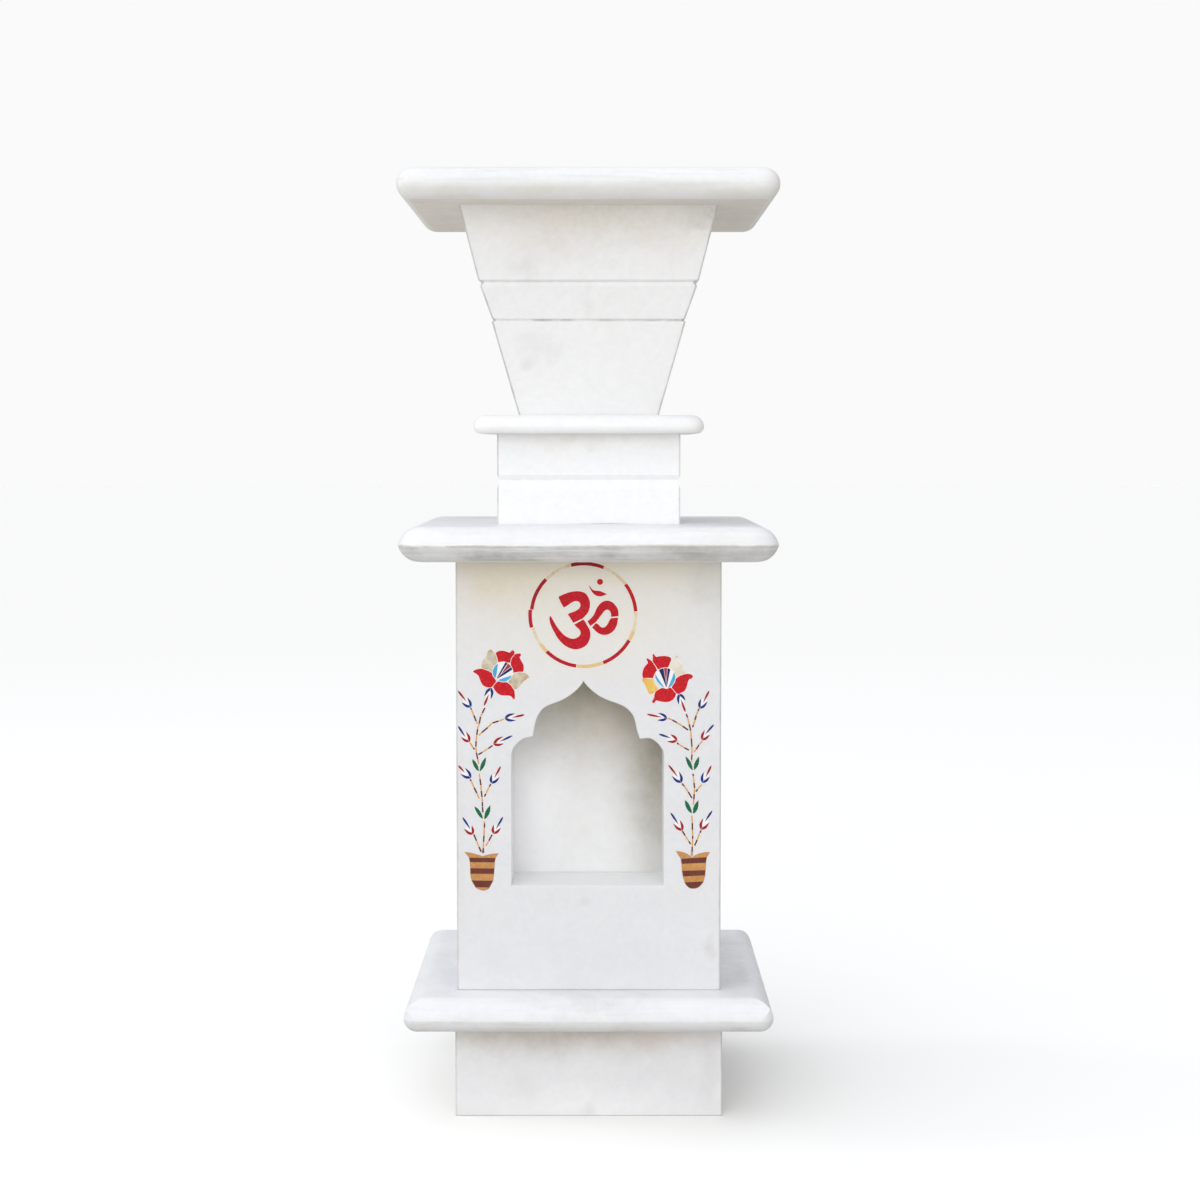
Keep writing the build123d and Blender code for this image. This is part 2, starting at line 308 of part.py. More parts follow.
def stem(path, stones, wanted):
    """The pieces of one stone in a stem of alternating stones along a path."""
    n = len(path)
    half, gap = STEM_W / 2, 0.12
    side = []
    for i in range(n):
        a = path[max(i - 1, 0)]
        b = path[i]
        c = path[min(i + 1, n - 1)]
        ux, uy = b[0] - a[0], b[1] - a[1]
        vx, vy = c[0] - b[0], c[1] - b[1]
        lu, lv = hypot(ux, uy) or 1.0, hypot(vx, vy) or 1.0
        mx, my = -(uy / lu + vy / lv), ux / lu + vx / lv
        lm = hypot(mx, my)
        k = half * (2.0 / (lm * lm) if 0 < i < n - 1 else 1.0 / lm)
        side.append((mx * k, my * k))
    pieces = []
    for i, colour in enumerate(stones):
        if colour != wanted:
            continue
        p, q = path[i], path[i + 1]
        length = hypot(q[0] - p[0], q[1] - p[1])
        gx, gy = (q[0] - p[0]) / length * gap, (q[1] - p[1]) / length * gap
        (px, py), (qx, qy) = side[i], side[i + 1]
        pieces.append([
            (p[0] + px + gx, p[1] + py + gy, 1), (q[0] + qx - gx, q[1] + qy - gy, 1),
            (q[0] - qx - gx, q[1] - qy - gy, 1), (p[0] - px + gx, p[1] - py + gy, 1),
        ])
    return pieces


def vase(table, wanted):
    """The horizontal bands of an inlaid flower vase, lip down to foot."""
    lip, left, right, foot = (table[k] for k in ("lip", "left", "right", "foot"))
    g = 0.12
    bands = [[(*lip[0], 1), *lip[1:3], (*lip[3], 1), *lip[4:6], (*lip[6], 1),
              (right[0][0], right[0][1] + g, 1), (left[0][0], left[0][1] + g, 1)]]
    for i in range(len(left) - 1):
        bands.append([
            (left[i][0], left[i][1] - g, 1), (right[i][0], right[i][1] - g, 1),
            (right[i + 1][0], right[i + 1][1] + g, 1), (left[i + 1][0], left[i + 1][1] + g, 1),
        ])
    bands.append([(left[-1][0], left[-1][1] - g, 1), *foot, (right[-1][0], right[-1][1] - g, 1)])
    return [band for i, band in enumerate(bands) if i % 2 == (0 if wanted == "ochre" else 1)]


def ring(start, end, shift):
    """One stone of the ring, between two angles, with half a joint off each end."""
    half_joint = degrees(0.15 / RING_RX)
    steps = [start + half_joint + (end - start - 2 * half_joint) * i / 6 for i in range(7)]
    at = lambda a, d: (RING_X + (RING_RX + d) * cos(radians(a)), RING_Z + (RING_RZ + d) * sin(radians(a)))
    pts = [at(a, shift) for a in steps] + [at(a, shift - RING_BAND) for a in reversed(steps)]
    return [(*p, 1) if i in (0, 6, 7, 13) else p for i, p in enumerate(pts)]


def bud_axis(bud):
    return ((bud[3][0] + bud[4][0]) / 2, (bud[3][1] + bud[4][1]) / 2)


def sepals(bud):
    return [sepal(bud[0], bud[1], bud_axis(bud)), sepal(bud[0], bud[2], bud_axis(bud))]


def bud_stones(buds, wanted):
    """Sepals and spears of one stone in a list of buds."""
    pieces = []
    for bud in buds:
        if bud[5] == wanted:
            pieces += sepals(bud)
        if bud[6] == wanted:
            pieces.append(spear(bud[4], bud[3], SPEAR_W))
    return pieces


def stem_stones(stems, wanted):
    return [piece for path, stones in stems for piece in stem(path, stones, wanted)]


INLAY = {
    "om_sign": OM_SIGN,
    "ring_red_stones": [ring(a, b, s) for a, b, kind, s in RING if kind == "red"],
    "ring_shell_stones": [ring(a, b, s) for a, b, kind, s in RING if kind == "shell"],
    "flower_left_red_stones": FLOWER_L_RED,
    "flower_left_shell_petals": FLOWER_L_SHELL,
    "flower_left_turquoise_stones": FLOWER_L_TURQUOISE,
    "flower_left_white_stones": FLOWER_L_WHITE,
    "flower_left_blue_stones": FLOWER_L_BLUE,
    "flower_right_red_stones": FLOWER_R_RED,
    "flower_right_gold_petal": FLOWER_R_GOLD,
    "flower_right_shell_petal": FLOWER_R_SHELL,
    "flower_right_turquoise_stones": FLOWER_R_TURQUOISE,
    "flower_right_white_stones": FLOWER_R_WHITE,
    "flower_right_blue_stones": FLOWER_R_BLUE,
    "buds_left_red_stones": bud_stones(BUDS_L, "red"),
    "buds_left_blue_stones": bud_stones(BUDS_L, "blue"),
    "buds_right_red_stones": bud_stones(BUDS_R, "red"),
    "buds_right_blue_stones": bud_stones(BUDS_R, "blue"),
    "leaves_left": LEAVES_L,
    "leaves_right": LEAVES_R,
    "stems_left_light_stones": stem_stones(STEMS_L, "l"),
    "stems_left_dark_stones": stem_stones(STEMS_L, "d"),
    "stems_right_light_stones": stem_stones(STEMS_R, "l"),
    "stems_right_dark_stones": stem_stones(STEMS_R, "d"),
    "vase_left_ochre_bands": vase(VASE_L, "ochre"),
    "vase_left_brown_bands": vase(VASE_L, "brown"),
    "vase_right_ochre_bands": vase(VASE_R, "ochre"),
    "vase_right_brown_bands": vase(VASE_R, "brown"),
}

# planes the pieces are drawn on
FACE = Plane(origin=(0, -COLUMN_W / 2, 0), x_dir=(1, 0, 0), z_dir=(0, -1, 0))
INSIDE = COLUMN_W / 2 - PANEL       # column panels' inner faces
BACK_BOARD_Y = -COLUMN_W / 2 + NICHE_DEPTH

# ---- plinth: four panels, front and back over the ends of the sides --------
PLINTH_IN = PLINTH_W / 2 - PANEL

with BuildPart() as plinth_front_panel:
    with BuildSketch(Plane.XY):
        with Locations((0, -PLINTH_W / 2 + PANEL / 2)):
            Rectangle(PLINTH_W, PANEL)
    extrude(amount=PLINTH_TOP)
    fillet(
        edges().filter_by(Axis.Z).group_by(Axis.Y)[0]
        + edges().filter_by(Axis.X).group_by(Axis.Z)[0].sort_by(Axis.Y)[0:1]
        + edges().filter_by(Axis.Y).group_by(Axis.Z)[0],
        ROUND,
    )
plinth_front_panel.part.label = "plinth_front_panel"

with BuildPart() as plinth_back_panel:
    add(plinth_front_panel.part, rotation=(0, 0, 180))
plinth_back_panel.part.label = "plinth_back_panel"

with BuildPart() as plinth_left_panel:
    with BuildSketch(Plane.XY):
        with Locations((-PLINTH_W / 2 + PANEL / 2, 0)):
            Rectangle(PANEL, 2 * PLINTH_IN)
    extrude(amount=PLINTH_TOP)
    fillet(edges().filter_by(Axis.Y).group_by(Axis.Z)[0].sort_by(Axis.X)[0], ROUND)
    chamfer(edges().filter_by(Axis.Z).group_by(Axis.X)[0], SEAM)
plinth_left_panel.part.label = "plinth_left_panel"

with BuildPart() as plinth_right_panel:
    add(plinth_left_panel.part, rotation=(0, 0, 180))
plinth_right_panel.part.label = "plinth_right_panel"

# ---- base slab: its nose is two arcs that meet in a crease ------------------
# Each arc is the rounded edge of a slightly larger slab; the slab is what the
# two share.  The upper arcs of the base slab run into a mitre at its corners.
def nose_growth(radius, height):
    """How far an arc tangent to a slab's face runs out past the crease at its own widest."""
    return radius - (radius**2 - (radius - height) ** 2) ** 0.5


BASE_GROW_UP = nose_growth(BASE_NOSE_UP, BASE_TOP - BASE_CREASE)
BASE_GROW_LOW = nose_growth(BASE_NOSE_LOW, BASE_CREASE - PLINTH_TOP)

with BuildPart() as base_upper_form:
    with BuildSketch(Plane.XY.offset(PLINTH_TOP - 30.0)):
        Rectangle(BASE_W + 2 * BASE_GROW_UP, BASE_W + 2 * BASE_GROW_UP)
    extrude(amount=BASE_TOP - PLINTH_TOP + 30.0)
    fillet(edges().group_by(Axis.Z)[-1], BASE_NOSE_UP)

with BuildPart() as base_slab:
    with BuildSketch(Plane.XY.offset(PLINTH_TOP)):
        RectangleRounded(BASE_W + 2 * BASE_GROW_LOW, BASE_W + 2 * BASE_GROW_LOW, BASE_CORNER + BASE_GROW_LOW)
    extrude(amount=BASE_TOP - PLINTH_TOP + 30.0)
    fillet(edges().group_by(Axis.Z)[0], BASE_NOSE_LOW)
    add(base_upper_form.part, mode=Mode.INTERSECT)
    with Locations(Plane.XY.offset(BASE_TOP)):
        Hole(DRAIN_R)
        with GridLocations(2 * COLUMN_DOWEL_X, 2 * (COLUMN_W / 2 - PANEL / 2), 2, 2):
            Hole(DOWEL_R, depth=DOWEL_SET)
base_slab.part.label = "base_slab"

with BuildPart() as column_dowels:
    with BuildSketch(Plane.XY.offset(BASE_TOP - DOWEL_SET)):
        with GridLocations(2 * COLUMN_DOWEL_X, 2 * (COLUMN_W / 2 - PANEL / 2), 2, 2):
            Circle(DOWEL_R)
    extrude(amount=DOWEL_SET + DOWEL_STAND)
    chamfer(edges().group_by(Axis.Z)[-1], 1.0)
column_dowels.part.label = "column_dowels"

# ---- column ---------------------------------------------------------------
COLUMN_H = COLUMN_TOP - BASE_TOP

with BuildPart() as column_front_panel:
    with BuildSketch(FACE):
        with Locations((0, BASE_TOP + COLUMN_H / 2)):
            Rectangle(COLUMN_W, COLUMN_H)
    extrude(amount=-PANEL)
    fillet(
        edges().filter_by(Axis.Z).group_by(Axis.Y)[0]
        + edges().filter_by(Axis.X).group_by(Axis.Z)[0].sort_by(Axis.Y)[0:1]
        + edges().filter_by(Axis.Y).group_by(Axis.Z)[0],
        ROUND,
    )
    # arched opening of the niche
    with BuildSketch(FACE):
        with BuildLine():
            Line((NICHE_R, SILL), (NICHE_L, SILL))
            Line((NICHE_L, SILL), ARCH_SHOULDER_L[0])
            Spline(*ARCH_SHOULDER_L, ARCH_CUSP_L, tangents=((0, 1), (1, 0.1)))
            Spline(ARCH_CUSP_L, *ARCH_HOOD_L, ARCH_APEX, tangents=((0.25, 1), (0.6, 1)))
            Spline(ARCH_APEX, *ARCH_HOOD_R, ARCH_CUSP_R, tangents=((0.6, -1), (0.3, -1)))
            Spline(ARCH_CUSP_R, *ARCH_SHOULDER_R, tangents=((1, 0.05), (0, -1)))
            Line(ARCH_SHOULDER_R[-1], (NICHE_R, SILL))
        make_face()
    extrude(amount=-PANEL, mode=Mode.SUBTRACT)
    fillet(faces().filter_by(Axis.Y).sort_by(Axis.Y)[0].inner_wires()[0].edges(), ARCH_ROUND)
    # loose holes for the pins that stand in the base slab
    with Locations(Plane(origin=(0, 0, BASE_TOP), x_dir=(1, 0, 0), z_dir=(0, 0, -1))):
        with Locations((COLUMN_DOWEL_X, COLUMN_W / 2 - PANEL / 2), (-COLUMN_DOWEL_X, COLUMN_W / 2 - PANEL / 2)):
            Hole(DOWEL_HOLE_R, depth=DOWEL_STAND + 2.0)
    # a pocket for every inlaid stone, one joint larger all round
    for outlines in INLAY.values():
        for outline in outlines:
            with BuildSketch(FACE):
                with BuildLine():
                    for run in runs(grow(outline, JOINT)):
                        Line(*run) if len(run) == 2 else Spline(*run)
                make_face()
    for bud in BUDS_L + BUDS_R:
        with BuildSketch(FACE):
            with BuildLine():
                for run in runs(grow(bud_white(bud), JOINT)):
                    Line(*run)
            make_face()
    with BuildSketch(FACE):
        with Locations(OM_DOT):
            Circle(OM_DOT_R + JOINT)
    extrude(amount=-STONE, mode=Mode.SUBTRACT)
column_front_panel.part.label = "column_front_panel"

with BuildPart() as column_back_panel:
    with BuildSketch(Plane.XY.offset(BASE_TOP)):
        with Locations((0, COLUMN_W / 2 - PANEL / 2)):
            Rectangle(COLUMN_W, PANEL)
    extrude(amount=COLUMN_H)
    fillet(
        edges().filter_by(Axis.Z).group_by(Axis.Y)[-1]
        + edges().filter_by(Axis.X).group_by(Axis.Z)[0].sort_by(Axis.Y)[-1:]
        + edges().filter_by(Axis.Y).group_by(Axis.Z)[0],
        ROUND,
    )
    with Locations(Plane(origin=(0, 0, BASE_TOP), x_dir=(1, 0, 0), z_dir=(0, 0, -1))):
        with Locations((COLUMN_DOWEL_X, -COLUMN_W / 2 + PANEL / 2), (-COLUMN_DOWEL_X, -COLUMN_W / 2 + PANEL / 2)):
            Hole(DOWEL_HOLE_R, depth=DOWEL_STAND + 2.0)
column_back_panel.part.label = "column_back_panel"

with BuildPart() as column_left_panel:
    with BuildSketch(Plane.XY.offset(BASE_TOP)):
        with Locations((-COLUMN_W / 2 + PANEL / 2, 0)):
            Rectangle(PANEL, 2 * INSIDE)
    extrude(amount=COLUMN_H)
    fillet(edges().filter_by(Axis.Y).group_by(Axis.Z)[0].sort_by(Axis.X)[0], ROUND)
    chamfer(edges().filter_by(Axis.Z).group_by(Axis.X)[0], SEAM)
column_left_panel.part.label = "column_left_panel"

with BuildPart() as column_right_panel:
    add(column_left_panel.part, rotation=(0, 0, 180))
column_right_panel.part.label = "column_right_panel"

# ---- niche box: boards glued behind the front panel ------------------------
NICHE_DEEP = NICHE_DEPTH - PANEL
NICHE_MID_Y = -INSIDE + NICHE_DEEP / 2

with BuildPart() as niche_floor:
    with BuildSketch(Plane.XY.offset(SILL - BOARD)):
        with Locations(((NICHE_L + NICHE_R) / 2, NICHE_MID_Y)):
            Rectangle(NICHE_R - NICHE_L, NICHE_DEEP)
    extrude(amount=BOARD)
niche_floor.part.label = "niche_floor"

with BuildPart() as niche_left_cheek:
    with BuildSketch(Plane.XY.offset(SILL - BOARD)):
        with Locations((NICHE_L - BOARD / 2, NICHE_MID_Y)):
            Rectangle(BOARD, NICHE_DEEP)
    extrude(amount=NICHE_CEILING - SILL + BOARD)
niche_left_cheek.part.label = "niche_left_cheek"

with BuildPart() as niche_right_cheek:
    with BuildSketch(Plane.XY.offset(SILL - BOARD)):
        with Locations((NICHE_R + BOARD / 2, NICHE_MID_Y)):
            Rectangle(BOARD, NICHE_DEEP)
    extrude(amount=NICHE_CEILING - SILL + BOARD)
niche_right_cheek.part.label = "niche_right_cheek"

with BuildPart() as niche_ceiling:
    with BuildSketch(Plane.XY.offset(NICHE_CEILING)):
        with Locations(((NICHE_L + NICHE_R) / 2, NICHE_MID_Y)):
            Rectangle(NICHE_R - NICHE_L + 2 * BOARD, NICHE_DEEP)
    extrude(amount=BOARD)
niche_ceiling.part.label = "niche_ceiling"

with BuildPart() as niche_back_panel:
    with BuildSketch(Plane.XY.offset(SILL - BOARD)):
        with Locations(((NICHE_L + NICHE_R) / 2, BACK_BOARD_Y + BOARD / 2)):
            Rectangle(NICHE_R - NICHE_L + 2 * BOARD, BOARD)
    extrude(amount=NICHE_CEILING - SILL + 2 * BOARD)
niche_back_panel.part.label = "niche_back_panel"

# ---- ledge slab on the column, nosed like the base slab --------------------
LEDGE_GROW_UP = nose_growth(LEDGE_NOSE_UP, LEDGE_TOP - LEDGE_CREASE)
LEDGE_GROW_LOW = nose_growth(LEDGE_NOSE_LOW, LEDGE_CREASE - COLUMN_TOP)

with BuildPart() as ledge_upper_form:
    with BuildSketch(Plane.XY.offset(COLUMN_TOP - 30.0)):
        RectangleRounded(LEDGE_W + 2 * LEDGE_GROW_UP, LEDGE_W + 2 * LEDGE_GROW_UP, LEDGE_CORNER + LEDGE_GROW_UP)
    extrude(amount=LEDGE_TOP - COLUMN_TOP + 30.0)
    fillet(edges().group_by(Axis.Z)[-1], LEDGE_NOSE_UP)

with BuildPart() as ledge_slab:
    with BuildSketch(Plane.XY.offset(COLUMN_TOP)):
        RectangleRounded(LEDGE_W + 2 * LEDGE_GROW_LOW, LEDGE_W + 2 * LEDGE_GROW_LOW, LEDGE_CORNER + LEDGE_GROW_LOW)
    extrude(amount=LEDGE_TOP - COLUMN_TOP + 30.0)
    fillet(edges().group_by(Axis.Z)[0], LEDGE_NOSE_LOW)
    add(ledge_upper_form.part, mode=Mode.INTERSECT)
    with Locations(Plane.XY.offset(LEDGE_TOP)):
        Hole(DRAIN_R)
        with GridLocations(2 * NECK_DOWEL_X, NECK_W - PANEL, 2, 2):
            Hole(DOWEL_R, depth=DOWEL_SET)
ledge_slab.part.label = "ledge_slab"

with BuildPart() as neck_dowels:
    with BuildSketch(Plane.XY.offset(LEDGE_TOP - DOWEL_SET)):
        with GridLocations(2 * NECK_DOWEL_X, NECK_W - PANEL, 2, 2):
            Circle(DOWEL_R)
    extrude(amount=DOWEL_SET + DOWEL_STAND)
    chamfer(edges().group_by(Axis.Z)[-1], 1.0)
neck_dowels.part.label = "neck_dowels"

# ---- neck: a square tube of four panels with one groove all round ----------
NECK_IN = NECK_W / 2 - PANEL

with BuildPart() as neck_form:
    levels = ((LEDGE_TOP, 0.0), *NECK_GROOVE, (NECK_TOP, 0.0))
    for (z0, d0), (z1, d1) in zip(levels, levels[1:]):
        with BuildSketch(Plane.XY.offset(z0)):
            Rectangle(NECK_W - 2 * d0, NECK_W - 2 * d0)
        with BuildSketch(Plane.XY.offset(z1)):
            Rectangle(NECK_W - 2 * d1, NECK_W - 2 * d1)
        loft(ruled=True)
    with BuildSketch(Plane.XY.offset(LEDGE_TOP)):
        Rectangle(2 * NECK_IN, 2 * NECK_IN)
    extrude(amount=NECK_TOP - LEDGE_TOP, mode=Mode.SUBTRACT)

with BuildPart() as neck_front_panel:
    add(neck_form.part)
    with BuildSketch(Plane.XY.offset(LEDGE_TOP)):
        with Locations((0, -NECK_W / 2 + PANEL / 2)):
            Rectangle(NECK_W, PANEL)
    extrude(amount=NECK_TOP - LEDGE_TOP, mode=Mode.INTERSECT)
    with Locations(Plane(origin=(0, 0, LEDGE_TOP), x_dir=(1, 0, 0), z_dir=(0, 0, -1))):
        with Locations((NECK_DOWEL_X, NECK_W / 2 - PANEL / 2), (-NECK_DOWEL_X, NECK_W / 2 - PANEL / 2)):
            Hole(DOWEL_HOLE_R, depth=DOWEL_STAND + 2.0)
neck_front_panel.part.label = "neck_front_panel"

with BuildPart() as neck_back_panel:
    add(neck_front_panel.part, rotation=(0, 0, 180))
neck_back_panel.part.label = "neck_back_panel"

with BuildPart() as neck_left_panel:
    add(neck_form.part)
    with BuildSketch(Plane.XY.offset(LEDGE_TOP)):
        with Locations((-NECK_W / 2 + PANEL / 2, 0)):
            Rectangle(PANEL, 2 * NECK_IN)
    extrude(amount=NECK_TOP - LEDGE_TOP, mode=Mode.INTERSECT)
neck_left_panel.part.label = "neck_left_panel"

with BuildPart() as neck_right_panel:
    add(neck_left_panel.part, rotation=(0, 0, 180))
neck_right_panel.part.label = "neck_right_panel"

with BuildPart() as neck_cap_slab:
    with BuildSketch(Plane.XY.offset(NECK_TOP)):
        RectangleRounded(CAP_W, CAP_W, CAP_CORNER)
    extrude(amount=CAP_TOP - NECK_TOP)
    fillet(edges().group_by(Axis.Z)[0], CAP_NOSE_LOW)
    fillet(edges().group_by(Axis.Z)[-1], CAP_NOSE_UP)
    with Locations(Plane.XY.offset(CAP_TOP)):
        Hole(DRAIN_R)
neck_cap_slab.part.label = "neck_cap_slab"

# ---- pot: four leaning panels, mitred at the corners -----------------------
with BuildPart() as pot_form:
    for (z0, h0), (z1, h1) in zip(POT_SECTIONS, POT_SECTIONS[1:]):
        with BuildSketch(Plane.XY.offset(z0)):
            Rectangle(2 * h0, 2 * h0)
        with BuildSketch(Plane.XY.offset(z1)):
            Rectangle(2 * h1, 2 * h1)
        loft(ruled=True)
    with BuildSketch(Plane.XY.offset(CAP_TOP)):
        Rectangle(2 * (POT_SECTIONS[0][1] - POT_WALL), 2 * (POT_SECTIONS[0][1] - POT_WALL))
    with BuildSketch(Plane.XY.offset(POT_TOP)):
        Rectangle(2 * (POT_SECTIONS[-1][1] - POT_WALL), 2 * (POT_SECTIONS[-1][1] - POT_WALL))
    loft(ruled=True, mode=Mode.SUBTRACT)

with BuildPart() as pot_front_panel:
    add(pot_form.part)
    split(bisect_by=Plane(origin=(0, 0, 0), z_dir=(1, 1, 0)), keep=Keep.BOTTOM)
    split(bisect_by=Plane(origin=(0, 0, 0), z_dir=(-1, 1, 0)), keep=Keep.BOTTOM)
pot_front_panel.part.label = "pot_front_panel"

with BuildPart() as pot_right_panel:
    add(pot_front_panel.part, rotation=(0, 0, 90))
pot_right_panel.part.label = "pot_right_panel"

with BuildPart() as pot_back_panel:
    add(pot_front_panel.part, rotation=(0, 0, 180))
pot_back_panel.part.label = "pot_back_panel"

with BuildPart() as pot_left_panel:
    add(pot_front_panel.part, rotation=(0, 0, 270))
pot_left_panel.part.label = "pot_left_panel"

POT_IN_LOW = POT_SECTIONS[0][1] - POT_WALL
POT_IN_SLOPE = (POT_SECTIONS[-1][1] - POT_SECTIONS[0][1]) / (POT_TOP - CAP_TOP)

with BuildPart() as pot_floor:
    with BuildSketch(Plane.XY.offset(CAP_TOP)):
        Rectangle(2 * POT_IN_LOW, 2 * POT_IN_LOW)
    with BuildSketch(Plane.XY.offset(CAP_TOP + POT_FLOOR)):
        Rectangle(2 * (POT_IN_LOW + POT_IN_SLOPE * POT_FLOOR), 2 * (POT_IN_LOW + POT_IN_SLOPE * POT_FLOOR))
    loft(ruled=True)
    with Locations(Plane.XY.offset(CAP_TOP + POT_FLOOR)):
        Hole(DRAIN_R)
pot_floor.part.label = "pot_floor"

with BuildPart() as rim_frame:
    with BuildSketch(Plane.XY.offset(POT_TOP)):
        RectangleRounded(RIM_W, RIM_W, RIM_CORNER)
    extrude(amount=RIM_TOP - POT_TOP)
    fillet(edges().group_by(Axis.Z)[0] + edges().group_by(Axis.Z)[-1], (RIM_TOP - POT_TOP) / 2 - 0.05)
    with BuildSketch(Plane.XY.offset(POT_TOP)):
        RectangleRounded(RIM_OPENING, RIM_OPENING, 3.0)
    extrude(amount=RIM_TOP - POT_TOP, mode=Mode.SUBTRACT)
    fillet(faces().sort_by(Axis.Z)[-1].inner_wires()[0].edges(), 2.0)
rim_frame.part.label = "rim_frame"

for piece in (
    plinth_front_panel, plinth_back_panel, plinth_left_panel, plinth_right_panel,
    base_slab, column_dowels,
    column_front_panel, column_back_panel, column_left_panel, column_right_panel,
    niche_floor, niche_left_cheek, niche_right_cheek, niche_ceiling, niche_back_panel,
    ledge_slab, neck_dowels,
    neck_front_panel, neck_back_panel, neck_left_panel, neck_right_panel, neck_cap_slab,
    pot_front_panel, pot_right_panel, pot_back_panel, pot_left_panel, pot_floor, rim_frame,
):
    export_step(piece.part, "parts/" + piece.part.label + ".step")

# ---- inlaid stones: flush with the column's front, one node for each group --
for node, outlines in INLAY.items():
    with BuildPart() as stones:
        for outline in outlines:
            with BuildSketch(FACE):
                with BuildLine():
                    for run in runs(outline):
                        Line(*run) if len(run) == 2 else Spline(*run)
                make_face()
        if node == "om_sign":
            with BuildSketch(FACE):
                with Locations(OM_DOT):
                    Circle(OM_DOT_R)
        extrude(amount=-STONE)
    stones.part.label = node
    export_step(stones.part, "parts/" + node + ".step")

for node, buds in (("buds_left_white_stones", BUDS_L), ("buds_right_white_stones", BUDS_R)):
    with BuildPart() as stones:
        for bud in buds:
            with BuildSketch(FACE):
                with BuildLine():
                    for run in runs(bud_white(bud)):
                        Line(*run)
                make_face()
                for outline in [*sepals(bud), spear(bud[4], bud[3], SPEAR_W)]:
                    with BuildLine():
                        for run in runs(grow(outline, 0.15)):
                            Line(*run) if len(run) == 2 else Spline(*run)
                    make_face(mode=Mode.SUBTRACT)
        extrude(amount=-STONE)
    stones.part.label = node
    export_step(stones.part, "parts/" + node + ".step")
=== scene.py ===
import math

import bpy
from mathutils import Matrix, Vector
from mathutils.geometry import delaunay_2d_cdt


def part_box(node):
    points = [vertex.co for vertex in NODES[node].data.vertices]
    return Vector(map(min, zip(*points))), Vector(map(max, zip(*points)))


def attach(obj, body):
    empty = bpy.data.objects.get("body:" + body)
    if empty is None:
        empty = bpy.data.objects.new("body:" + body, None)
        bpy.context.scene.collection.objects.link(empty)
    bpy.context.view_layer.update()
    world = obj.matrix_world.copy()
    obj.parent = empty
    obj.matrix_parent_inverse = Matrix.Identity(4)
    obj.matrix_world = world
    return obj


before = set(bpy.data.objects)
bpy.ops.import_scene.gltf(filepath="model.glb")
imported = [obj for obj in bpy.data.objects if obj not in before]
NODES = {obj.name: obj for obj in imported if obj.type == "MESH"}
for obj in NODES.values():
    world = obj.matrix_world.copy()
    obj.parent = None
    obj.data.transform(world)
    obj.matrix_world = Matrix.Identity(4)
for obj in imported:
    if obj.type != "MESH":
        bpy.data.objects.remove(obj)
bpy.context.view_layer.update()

# ---------------------------------------------------------------- the part's
# levels, in metres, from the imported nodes
Z = {
    "plinth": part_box("plinth_front_panel")[1].z,
    "base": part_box("base_slab")[1].z,
    "column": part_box("column_front_panel")[1].z,
    "ledge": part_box("ledge_slab")[1].z,
    "neck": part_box("neck_front_panel")[1].z,
    "cap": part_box("neck_cap_slab")[1].z,
    "pot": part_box("pot_front_panel")[1].z,
    "rim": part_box("rim_frame")[1].z,
}
FACE_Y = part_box("column_front_panel")[0].y


